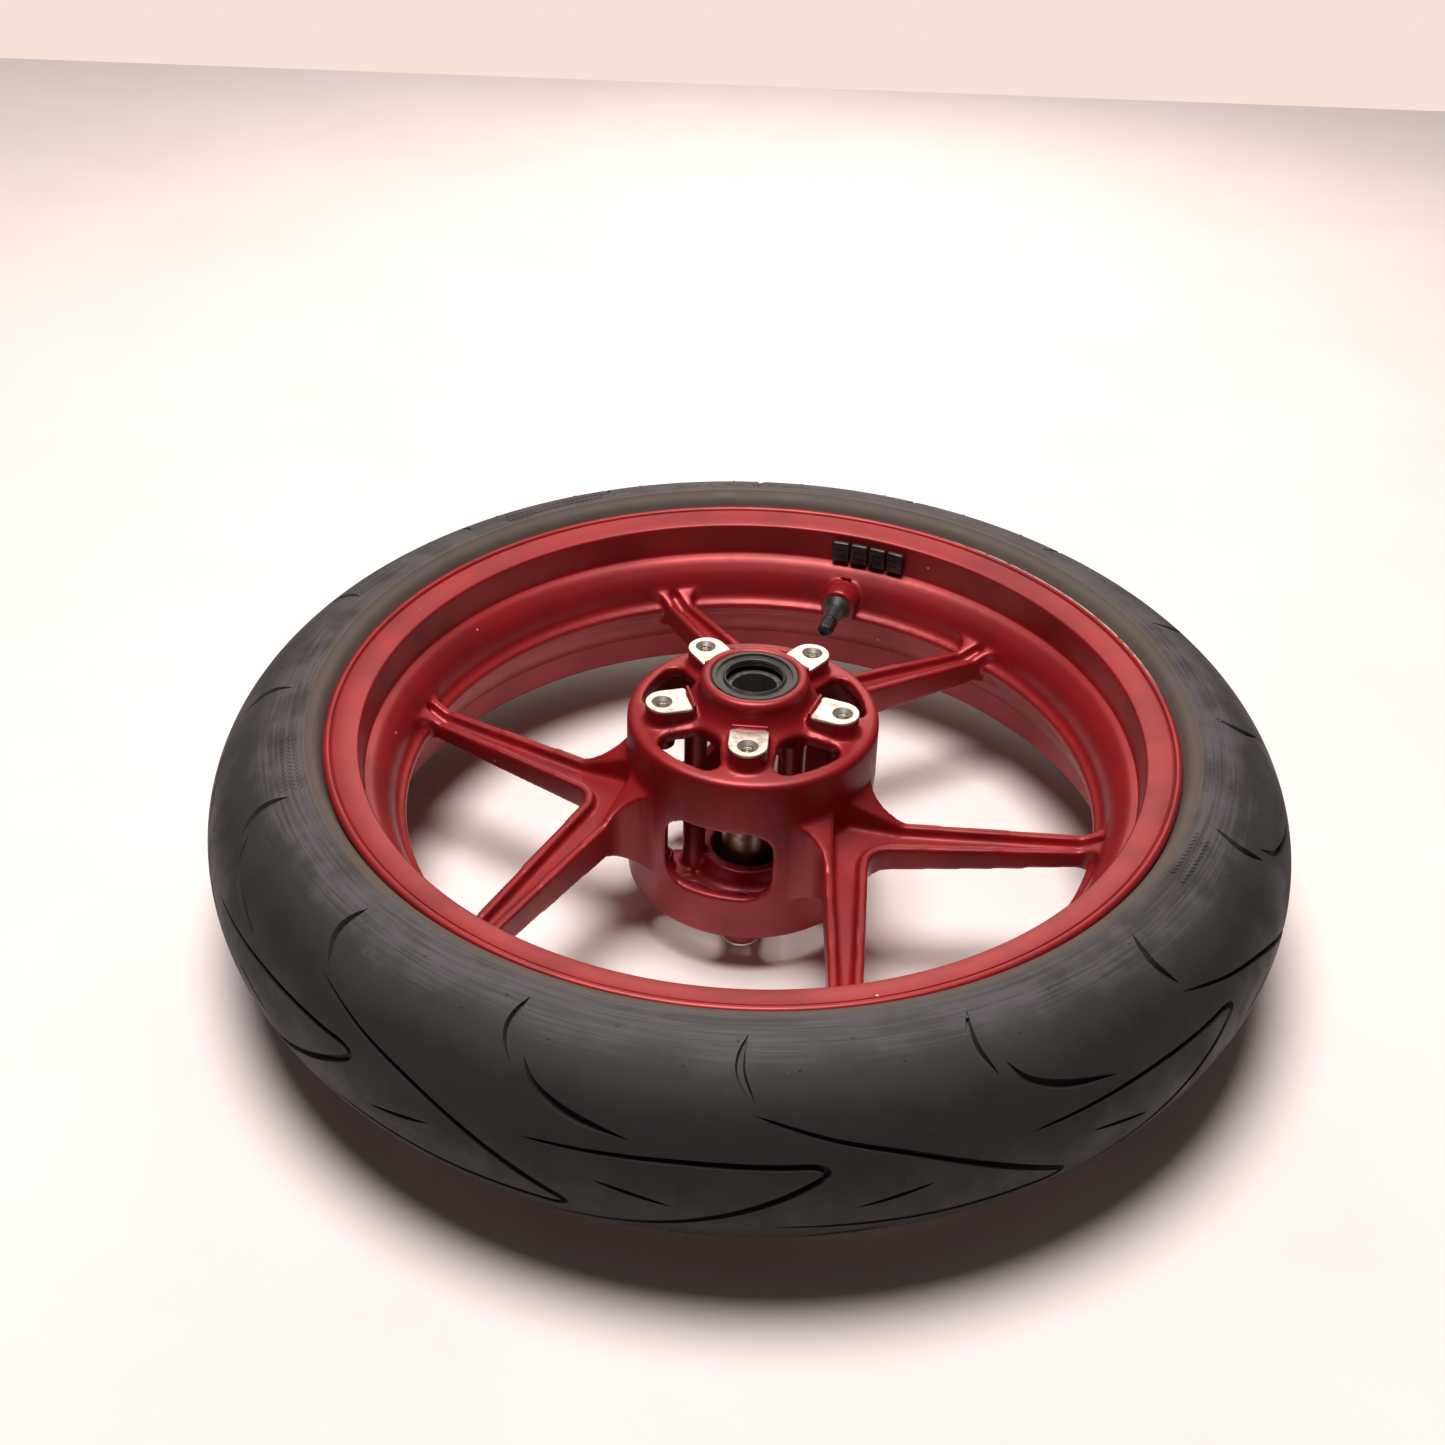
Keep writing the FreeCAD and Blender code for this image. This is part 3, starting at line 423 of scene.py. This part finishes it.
def stagePaper(name, color, faint):
    # The matt pale surface that the wheel lies on.
    material, tree, shader, coords = newMaterial(name, color, 0.0, 0.85)
    mottle = between(tree, noise(tree, coords, 190, 5.0, 0.6), 0.35, 0.75)
    tree.links.new(blendColors(tree, mottle, color, faint), shader.inputs["Base Color"])
    bump(tree, shader, noise(tree, coords, 9, 4.0), 0.08, 0.3)
    return material


redPaint = satinRedPaint()
rubber = tyreRubber()
millFinish = machinedAluminium()
print("materials made")

# Camera.

view = {"distance": 1.02353, "elevation": 37.503, "yaw": 0.691, "pitch": 1.504, "roll": -2.384,
        "lens": 45.186, "shiftX": -0.0054, "shiftY": 0.0113}
elevation = math.radians(view["elevation"])
eye = Vector((0, -math.cos(elevation), math.sin(elevation))) * view["distance"]
forward, right = -eye.normalized(), Vector((1, 0, 0))
upward = right.cross(forward)
turn = Matrix.Rotation(math.radians(view["yaw"]), 3, upward)
forward, right = turn @ forward, turn @ right
turn = Matrix.Rotation(math.radians(view["pitch"]), 3, right)
forward, upward = turn @ forward, turn @ upward
turn = Matrix.Rotation(math.radians(view["roll"]), 3, forward)
right, upward = turn @ right, turn @ upward
lensData = bpy.data.cameras.new("studioCamera")
lensData.lens, lensData.sensor_width = view["lens"], 36.0
lensData.shift_x, lensData.shift_y = view["shiftX"], view["shiftY"]
camera = bpy.data.objects.new("studioCamera", lensData)
camera.matrix_world = Matrix.Translation(eye) @ Matrix((right, upward, -forward)).transposed().to_4x4()
bpy.context.scene.collection.objects.link(camera)
bpy.context.scene.camera = camera

# Rim, spokes and hub.

casting = {
    "voxel": 1.25,  # sets how round the cast edges come out
    "smoothing": 5,
    "triangles": 185000,
    "seamHeight": 29.3,
    "padTop": 65.3,
    "boltCircle": 51.0,
    "firstSeat": -92.4,
}


def boltCylinders(radius):
    # Clearance through the bosses for the threaded seats' sleeves.
    rod = cylinderAlong("boltRod", radius, 80.0)
    rod.data.transform(Matrix.Translation((casting["boltCircle"] * mm, 0, 0)))
    return repeatAround(rod, 5, casting["firstSeat"], 72.0)


def cylinderAlong(name, radius, half, sides=32):
    angles = [math.tau * i / sides for i in range(sides)]
    ring = [(radius * mm * math.cos(a), radius * mm * math.sin(a)) for a in angles]
    points = [(x, y, z * mm) for z in (-half, half) for x, y in ring]
    faces = [(i, (i + 1) % sides, sides + (i + 1) % sides, sides + i) for i in range(sides)]
    faces += [tuple(reversed(range(sides))), tuple(range(sides, 2 * sides))]
    return meshObject(name, points, faces)


def castBody():
    # The CAD casting inside the flanges, remeshed so that its cast corners are soft.
    shape = frame["nodes"]["wheel_casting"].data.copy()
    body = bpy.data.objects.new("castBody", shape)
    bpy.context.scene.collection.objects.link(body)
    work = bmesh.new()
    work.from_mesh(shape)
    bmesh.ops.remove_doubles(work, verts=work.verts, dist=1e-6)
    work.to_mesh(shape)
    work.free()
    seam, pad = casting["seamHeight"], casting["padTop"]
    upper = [(216, 0), (216, seam), (120, seam + 5), (62.5, pad - 8), (62.5, pad), (36.1, pad), (36.1, 79),
             (5, 79)]
    keep = lathe("keptRegion", upper + [(r, -z) for r, z in reversed(upper[1:])], 180)
    boolean(body, keep, "INTERSECT")
    boolean(body, boltCylinders(5.0), "DIFFERENCE")
    step = body.modifiers.new("remesh", "REMESH")
    step.mode, step.voxel_size = "VOXEL", casting["voxel"] * mm
    step = body.modifiers.new("soften", "SMOOTH")
    step.factor, step.iterations = 0.5, casting["smoothing"]
    applied(body)
    step = body.modifiers.new("thin", "DECIMATE")
    step.ratio = casting["triangles"] / (2 * len(body.data.polygons))
    applied(body)
    body.data.validate()
    smoothUnder(body.data, 60)
    return body


def rimFlange(name):
    # The machined-true wall, bead seat and flange on one side of the rim, as a turned ring.
    outline = [(211.5, 26.0)] + arc((211.3, 29.1), (211.8, 29.8), (212, 30.9), 4)
    outline += [(212, 30.9)] + arc((213, 47), (213.2, 48.3), (214.2, 49), 3)
    outline += [(214.2, 49), (226.0, 51.95), (226.5, 51.9), (226.9, 51.4), (227.2, 51.4)]
    outline += arc((227.6, 52.2), (229.4, 53.2), (231.5, 51.2), 9)
    outline += [(231.5, 51.2)] + arc((231.5, 49.85), (229.3, 46.65), (224, 44.45), 7)
    outline += [(224, 44.45), (220.5, 44.45), (218.3, 42.45), (217.4, 33.05), (217.4, 26.0)]
    return lathe(name, outline, 360)


body = castBody()
print("casting:", len(body.data.polygons), "faces")
place(body, "wheel", "red_casting", redPaint, ["wheel_casting"])
upperFlange = rimFlange("rimFlangeUpper")
lowerFlange = flippedOver(upperFlange, "rimFlangeLower")
for piece in (upperFlange, lowerFlange):
    place(piece, "wheel", "red_casting", redPaint, ["wheel_casting"])
print("rim flanges turned")

discSeat = {"inner": 36.2, "outer": 60.0, "halfWidth": 10.5, "top": 66.0, "bottom": 64.6, "bevel": 0.35,
            "countersink": 5.4, "tapped": 3.4, "sleeve": 5.6, "depth": 14.0, "threadPitch": 1.25,
            "lipInset": 0.6, "lipRadii": (34.2, 36.1), "lipHeights": (62.0, 68.0)}


def seatPlate():
    # One machined disc seat with its countersunk, threaded hole, at azimuth 0.
    s = discSeat
    centre, sides = casting["boltCircle"], 72

    def edgePoint(a, inset):
        # The seat's outline seen from the hole: square towards the hub, half round outwards.
        c, q = math.cos(a), math.sin(a)
        half, far, near = s["halfWidth"] - inset, s["outer"] - centre - inset, centre - s["inner"] - inset
        low, high = 0.0, 40.0
        for _ in range(30):
            k = (low + high) / 2
            x, y = k * c, abs(k * q)
            beyond = math.hypot(max(0, x - far + half), y) > half or x < -near
            low, high = (low, k) if beyond else (k, high)
        return (low * c, low * q)

    rings = [(s["bottom"], None, 0.0), (s["top"] - s["bevel"], None, 0.0), (s["top"], None, s["bevel"]),
             (s["top"], s["countersink"] + 0.3, 0), (s["top"] - 0.3, s["countersink"], 0),
             (s["top"] - 2.3, s["tapped"], 0)]
    turns = int((s["depth"] - 3) / (s["threadPitch"] / 2))
    for i in range(turns):
        rings.append((s["top"] - 2.5 - i * s["threadPitch"] / 2, s["tapped"] + (0.35 if i % 2 else 0.0), 0))
    rings += [(s["top"] - s["depth"], s["tapped"], 0), (s["top"] - s["depth"], s["sleeve"], 0),
              (s["bottom"], s["sleeve"], 0)]
    points = []
    for z, radius, inset in rings:
        for i in range(sides):
            a = math.tau * (i + 0.5) / sides
            x, y = edgePoint(a, inset) if radius is None else (radius * math.cos(a), radius * math.sin(a))
            points.append(((centre + x) * mm, y * mm, z * mm))
    faces = []
    for j in range(len(rings)):
        k = (j + 1) % len(rings)
        for i in range(sides):
            n = (i + 1) % sides
            faces.append((j * sides + i, j * sides + n, k * sides + n, k * sides + i))
    plate = meshObject("seatPlate", points, faces)
    pointOutward(plate.data)
    smoothUnder(plate.data, 32)
    return plate


def spigotLip():
    # The thin raised lip that centres the brake disc at the inner end of a seat.
    half = (discSeat["halfWidth"] - discSeat["lipInset"]) * mm
    radii, heights = ([v * mm for v in discSeat[key]] for key in ("lipRadii", "lipHeights"))
    lip = bevelled(blockObject("spigotLip", radii, (-half, half), heights), 0.7, 3)
    smoothUnder(lip.data, 40)
    return lip


upperLips = repeatAround(spigotLip(), 5, casting["firstSeat"], 72.0, redPaint)
upperLips.name = "spigotLipsUpper"
lowerLips = flippedOver(upperLips, "spigotLipsLower")
for piece in (upperLips, lowerLips):
    place(piece, "wheel", "red_casting", redPaint)

upperSeats = repeatAround(seatPlate(), 5, casting["firstSeat"], 72.0, millFinish)
upperSeats.name = "discSeatsUpper"
lowerSeats = flippedOver(upperSeats, "discSeatsLower")
for piece in (upperSeats, lowerSeats):
    place(piece, "wheel", "red_casting", millFinish, ["wheel_casting"])
print("disc seats made")

# Tyre.

tyre = {
    "centre": 236.2,   # radius of the section circle's centre
    "section": 60.2,   # radius of the section circle
    "wall": 51.2,
    "segments": 420,
    "pitchTurn": 45.0,  # the tread repeats eight times, and each side is half a turn of it behind
    "firstTurn": -111.7,
    "depth": 3.0,
}


def tyreOutline():
    centre, section, wall = tyre["centre"], tyre["section"], tyre["wall"]
    half = [(centre + section * math.cos(a), section * math.sin(a))
            for a in (math.radians(2.0 * i) for i in range(0, 42))]
    half += [(240.9, 59.55), (240.5, 59.75), (239.9, 59.7), (239.5, 59.1)]  # the fitting line beside the rim
    half += [(236.5, 57.6), (234.8, 55.9), (233.3, 53.6)]
    half += arc((232.2, 49.45), (230.1, 46.35), (224.2, 44.35), 5)
    half += [(224.2, 44.35), (219.6, 44.2), (218.9, 40.0), (221.5, 38.5)]
    inner = [(centre + wall * math.cos(a), wall * math.sin(a))
             for a in (math.radians(130 - 10 * i) for i in range(0, 14))]
    inner = [p for p in inner if p[0] > 222.5 or p[1] < 38]
    half += inner[1:] if inner[0][1] > 39 else inner
    return half + [(r, -z) for r, z in reversed(half[1:-1])]


def onTyre(azimuth, lean, lift=0.0):
    a, b = math.radians(azimuth), math.radians(lean)
    normal = Vector((math.cos(b) * math.cos(a), math.cos(b) * math.sin(a), math.sin(b)))
    centre = Vector((tyre["centre"] * math.cos(a), tyre["centre"] * math.sin(a), 0))
    return (centre + normal * (tyre["section"] + lift)) * mm, normal


def throughPoints(route, steps):
    # A smooth run through listed (azimuth, lean) points.
    points = [Vector(p) for p in route]
    points = [2 * points[0] - points[1]] + points + [2 * points[-1] - points[-2]]
    run = []
    for i in range(1, len(points) - 2):
        p0, p1, p2, p3 = points[i - 1:i + 3]
        for k in range(steps):
            t = k / steps
            run.append(0.5 * (2 * p1 + (p2 - p0) * t + (2 * p0 - 5 * p1 + 4 * p2 - p3) * t * t
                              + (3 * p1 - p0 - 3 * p2 + p3) * t ** 3))
    return run + [points[-2]]


def grooveTool(route, width, depth, steps, sharp, mirror):
    # The wedge that cuts one tread groove: full in the middle, drawn out to points at its ends.
    run = throughPoints(route, steps)
    if mirror:
        run = [Vector((p.x + tyre["pitchTurn"] / 2, -p.y)) for p in run]
    places = [onTyre(p.x, p.y)[0] for p in run]
    lengths = [0.0]
    for a, b in zip(places, places[1:]):
        lengths.append(lengths[-1] + (b - a).length)
    points, faces = [], []
    for i, p in enumerate(run):
        spot, normal = onTyre(p.x, p.y)
        ahead = places[min(i + 1, len(places) - 1)] - places[max(i - 1, 0)]
        side = normal.cross(ahead.normalized()).normalized()
        u = lengths[i] / lengths[-1]
        full = max(0.06, math.sin(math.pi * min(1, max(0, u))) ** sharp)
        half = width * mm / 2 * full
        low = depth * mm * max(0.18, full ** 0.6)
        lift = 1.2 * mm
        points += [spot + normal * lift - side * half * 1.15, spot + normal * lift + side * half * 1.15,
                   spot - normal * low + side * half * 0.55, spot - normal * low - side * half * 0.55]
    for i in range(len(run) - 1):
        here, there = 4 * i, 4 * i + 4
        faces += [(here + j, here + (j + 1) % 4, there + (j + 1) % 4, there + j) for j in range(4)]
    faces += [(3, 2, 1, 0), tuple(len(points) - 4 + j for j in range(4))]
    tool = meshObject("grooveTool", points, faces)
    pointOutward(tool.data)
    return tool


def treadTools():
    # One repeat of the tread, each groove given by azimuth from the repeat's start and by lean.
    shortCut = [(0.0, 75.0), (-0.6, 66.0), (-0.5, 57.0), (0.8, 45.5)]
    longCut = [(1.8, 50.0), (3.6, 40.0), (7.2, 32.0), (12.6, 26.5)]
    hook = [(0.7, 41.5), (7.6, 30.4), (14.0, 21.5), (19.6, 11.0), (24.2, 0.5), (27.4, -8.0), (29.5, -15.0),
            (28.6, -18.9), (25.4, -19.2), (17.2, -19.6), (8.6, -18.0), (3.0, -17.0)]
    dash = [(9.6, -4.2), (13.0, -0.2), (16.6, 4.6)]
    tools = []
    for mirror in (False, True):
        tools.append(grooveTool(shortCut, 4.6, tyre["depth"], 4, 0.8, mirror))
        tools.append(grooveTool(longCut, 4.8, tyre["depth"], 5, 0.8, mirror))
        half = tyre["pitchTurn"] / 2
        later = [[(a + half, b) for a, b in route] for route in (shortCut, hook, dash)]
        tools.append(grooveTool(later[0], 4.6, tyre["depth"], 4, 0.8, mirror))
        tools.append(grooveTool(later[1], 3.8, tyre["depth"] + 0.4, 4, 0.35, mirror))
        tools.append(grooveTool(later[2], 2.4, tyre["depth"] * 0.7, 4, 0.5, mirror))
    return joined("treadTools", tools)


def trueNormals(thing):
    # The tread between the grooves is shaded as the plain round section that it is.
    mesh = thing.data
    smoothUnder(mesh, 30)
    corners = [Vector(c.vector) for c in mesh.corner_normals]
    for face in mesh.polygons:
        for index in face.loop_indices:
            p = mesh.vertices[mesh.loops[index].vertex_index].co
            out = math.hypot(p.x, p.y)
            lean = math.atan2(p.z, out - tyre["centre"] * mm)
            depth = math.hypot(out - tyre["centre"] * mm, p.z) - tyre["section"] * mm
            normal = Vector((math.cos(lean) * p.x / out, math.cos(lean) * p.y / out, math.sin(lean)))
            if abs(depth) < 6e-5 and abs(lean) < math.radians(82) and face.normal.dot(normal) > 0.9:
                corners[index] = normal
    mesh.normals_split_custom_set(corners)
    return thing


def treadedTyre():
    thing = lathe("treadedTyre", tyreOutline(), tyre["segments"])
    tools = repeatAround(treadTools(), 8, tyre["firstTurn"], tyre["pitchTurn"])
    boolean(thing, tools, "DIFFERENCE")
    return trueNormals(thing)


cover = treadedTyre()
print("tyre:", len(cover.data.polygons), "faces")
place(cover, "wheel", "tyre_rubber", rubber, ["tyre"])

sidewall = {
    "hatchBands": ((114.5, 130.5), (-168.0, -157.0), (-33.0, -24.0)),
    "hatchLeans": (75.5, 78.6, 81.7),
    "hatchPitch": 0.75,
    "hatchLength": 2.3,
    "ventTurns": (60.0, 72.5),
    "ventCount": 32,
}


def onSidewall(name, length, width, height, lean, slant=0.0):
    # A low bar moulded on the sidewall at azimuth 0, with its top a little smaller than its foot.
    points = []
    for lift, size in ((-0.3, 1.0), (height, 0.6)):
        for across, along in ((-1, -1), (1, -1), (1, 1), (-1, 1)):
            turned = math.degrees(along * length * size / 2 / tyre["section"])
            aside = (across * width * size / 2 + along * slant / 2) / tyre["centre"]
            points.append(onTyre(math.degrees(aside), lean + turned, lift)[0])
    bar = meshObject(name, points, [(3, 2, 1, 0), (4, 5, 6, 7), (0, 1, 5, 4), (1, 2, 6, 5), (2, 3, 7, 6),
                                    (3, 0, 4, 7)])
    pointOutward(bar.data)
    return bar


def vent(lean):
    # A stub left where air left the mould.
    centre, normal = onTyre(0, lean)
    side, along = Vector((0, 1, 0)), normal.cross(Vector((0, 1, 0)))
    points, sides = [], 10
    for radius, lift in ((1.0, -0.2), (0.8, 0.25), (0.45, 0.35)):
        for i in range(sides):
            a = math.tau * i / sides
            points.append(centre + (normal * lift + (side * math.cos(a) + along * math.sin(a)) * radius) * mm)
    faces = [(j * sides + i, j * sides + (i + 1) % sides, (j + 1) * sides + (i + 1) % sides,
              (j + 1) * sides + i) for j in range(2) for i in range(sides)]
    faces += [tuple(reversed(range(sides))), tuple(range(2 * sides, 3 * sides))]
    stub = meshObject("vent", points, faces)
    pointOutward(stub.data)
    return stub


def sidewallMarks():
    # The hatched bands, short grip marks and vent stubs of the upper sidewall.
    parts = []
    for row, lean in enumerate(sidewall["hatchLeans"]):
        for start, end in sidewall["hatchBands"]:
            bar = onSidewall("hatch", sidewall["hatchLength"], 1.1, 0.4, lean, 1.6 if row % 2 else -1.6)
            count = int((end - start) / sidewall["hatchPitch"])
            parts.append(repeatAround(bar, count, start + 0.3 * row, sidewall["hatchPitch"], rubber))
    for i, lean in enumerate(sidewall["ventTurns"]):
        count = sidewall["ventCount"]
        parts.append(repeatAround(vent(lean), count, 4.0 + 5.5 * i, 360 / count, rubber, 2.5, 7 + i))
    ring = onSidewall("indicator", 2.4, 7.0, 0.45, 78.0)
    parts.append(repeatAround(ring, 9, 84.0, 2.3, rubber))
    return joined("sidewallMarksUpper", parts)


upperMarks = sidewallMarks()
lowerMarks = flippedOver(upperMarks, "sidewallMarksLower")
for piece in (upperMarks, lowerMarks):
    place(piece, "wheel", "tyre_rubber", rubber)
print("sidewall marks made")

# Balance weights and valve cap.

weights = {"count": 4, "middle": 70.7, "pitch": 3.3, "width": 11.2, "height": 14.0, "thickness": 4.5,
           "centre": 38.0, "wall": 211.95, "corner": 1.5, "grooveApart": 4.4, "grooveLength": 7.2,
           "grooveWidth": 0.8, "grooveDepth": 0.35}


def weightBlock():
    # One stick-on weight at azimuth 0: rounded corners and a shallow line across its face.
    w = weights
    outer, inner = w["wall"] * mm, (w["wall"] - w["thickness"]) * mm
    half, tall = w["width"] / 2 * mm, w["height"] / 2 * mm
    middle = w["centre"] * mm
    heights = (middle - tall, middle + tall)
    block = bevelled(blockObject("weightBlock", (inner, outer), (-half, half), heights), w["corner"], 5)
    reach, wide = w["grooveLength"] / 2 * mm, w["grooveWidth"] / 2 * mm
    for level in (-w["grooveApart"] / 2 * mm, w["grooveApart"] / 2 * mm):
        groove = blockObject("weightLine", (inner - mm, inner + w["grooveDepth"] * mm), (-reach, reach),
                             (middle + level - wide, middle + level + wide))
        boolean(block, groove, "DIFFERENCE")
    smoothUnder(block.data, 35)
    return block


weightBlack = plainRubber("plastic-coated weight", "#121110", "#37322F", 0.38, 0.7, 0.0)
first = weights["middle"] - weights["pitch"] * (weights["count"] - 1) / 2
blocks = repeatAround(weightBlock(), weights["count"], first, weights["pitch"], weightBlack)
blocks.name = "balanceWeights"
place(blocks, "wheel", "weight_lead", weightBlack, ["balance_weights"])

cap = {"azimuth": 74.0, "height": 12.0, "tip": 152.8, "mouth": 165.3, "radius": 5.0, "bore": 4.0, "ribs": 18}


def knurledCap():
    # The moulded valve cap, ribbed round its grip, with its mouth towards the rim.
    sides = cap["ribs"] * 6
    tip, mouth, full = cap["tip"], cap["mouth"], cap["radius"]
    rings = [(tip + 1.2, 0.01, 0), (tip + 1.2, full * 0.5, 0), (tip + 0.2, full * 0.55, 0),
             (tip, full * 0.62, 0), (tip + 0.4, full * 0.8, 0), (tip + 1.4, full * 0.93, 1),
             (tip + 3.0, full * 0.97, 1),
             (mouth - 2.6, full, 1), (mouth - 2.0, full, 0), (mouth - 0.3, full, 0), (mouth, full - 0.3, 0),
             (mouth, cap["bore"], 0), (mouth - 6.0, cap["bore"], 0), (mouth - 6.0, 0.01, 0)]
    points, faces = [], []
    for along, radius, ribbed in rings:
        for i in range(sides):
            a = math.tau * i / sides
            r = radius - ribbed * 0.35 * (0.5 + 0.5 * math.cos(a * cap["ribs"])) ** 2
            points.append((along * mm, r * math.cos(a) * mm, r * math.sin(a) * mm))
    for j in range(len(rings) - 1):
        for i in range(sides):
            n = (i + 1) % sides
            faces.append((j * sides + i, j * sides + n, (j + 1) * sides + n, (j + 1) * sides + i))
    faces += [tuple(range(sides)), tuple(range((len(rings) - 1) * sides, len(rings) * sides))]
    thing = meshObject("valveCap", points, faces)
    thing.data.transform(Matrix.Translation((0, 0, cap["height"] * mm))
                         @ Matrix.Rotation(math.radians(cap["azimuth"]), 4, "Z"))
    pointOutward(thing.data)
    smoothUnder(thing.data, 40)
    return thing


capPlastic = plainRubber("moulded nylon", "#121110", "#34302C", 0.40, 0.4, 0.0)
place(knurledCap(), "valve_cap", "cap_plastic", capPlastic, ["valve_cap"])
print("weights and valve cap made")

# Carried-over parts.

finishes = {
    "bearing_steel": plainMetal("ground bearing steel", "#D3D0CA", "#A39F98", 0.30, 0.3),
    "cage_steel": plainMetal("pressed steel", "#9A9791", "#6F6B66", 0.36, 0.6),
    "spring_steel": plainMetal("oiled spring steel", "#6B6966", "#4A4744", 0.32, 0.4),
    "steel_tube": plainMetal("turned steel tube", "#C4BFB4", "#938A7C", 0.36, 0.5),
    "seal_rubber": plainRubber("moulded nitrile rubber", "#1B1918", "#46403B", 0.42, 0.5),
    "valve_rubber": plainRubber("moulded valve rubber", "#131211", "#332F2C", 0.5, 0.5),
    "brass": plainMetal("turned brass", "#B8934A", "#8C6B34", 0.30, 0.4),
    "cap_plastic": capPlastic,
    "weight_lead": weightBlack,
    "red_casting": redPaint,
    "tyre_rubber": rubber,
}
slotOf = {part["node"]: part["material_slot"] for part in frame["record"]["subparts"]}
for name, node in frame["nodes"].items():
    node.data.materials.clear()
    node.data.materials.append(finishes[slotOf[name]])

# Floor, room and light.

studio = {"floorColor": "#E6DCDA", "floorFaint": "#E2D7D4", "roomColor": "#F6E2D6",
          "floorReach": 1.6, "roomGlow": 0.10}
floorHeight, reach = min(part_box(name)[0].z for name in frame["nodes"]), studio["floorReach"]
floor = meshObject("floor", [(-reach, -reach, floorHeight), (reach, -reach, floorHeight),
                             (reach, reach, floorHeight), (-reach, reach, floorHeight)], [(0, 1, 2, 3)])
floor.data.materials.append(stagePaper("pale work surface", studio["floorColor"], studio["floorFaint"]))


lights = {
    "overhead": {"place": (-0.20, 0.0, 2.6), "size": 1.4, "power": 104.0, "color": "#FFFAF6"},
    "backBounce": {"place": (0.1, 1.3, 0.7), "size": 1.0, "power": 7.0, "color": "#FFEDE2"},
}


def softLight(name, place, size, power, color):
    # A round soft light aimed at the middle of the wheel.
    lamp = bpy.data.lights.new(name, "AREA")
    lamp.shape, lamp.size, lamp.energy, lamp.color = "DISK", size, power, hexColor(color)[:3]
    thing = bpy.data.objects.new(name, lamp)
    thing.location = place
    thing.rotation_euler = (-Vector(place)).to_track_quat("-Z", "Y").to_euler()
    bpy.context.scene.collection.objects.link(thing)


for name, lamp in lights.items():
    softLight(name, **lamp)
world = bpy.data.worlds.new("room")
world.use_nodes = True
room = world.node_tree
glow = room.nodes["Background"]
glow.inputs["Color"].default_value = hexColor(studio["roomColor"])
glow.inputs["Strength"].default_value = studio["roomGlow"]
shown = addNode(room, "ShaderNodeBackground", {"Color": hexColor(studio["roomColor"]), "Strength": 1.0})
seen = addNode(room, "ShaderNodeLightPath").outputs["Is Camera Ray"]
blend = addNode(room, "ShaderNodeMixShader", None, {0: seen, 1: glow.outputs[0], 2: shown.outputs[0]})
room.links.new(blend.outputs[0], room.nodes["World Output"].inputs["Surface"])
bpy.context.scene.world = world
bpy.context.scene.view_settings.view_transform = "Standard"  # colours shown as they are lit
print("stage set")
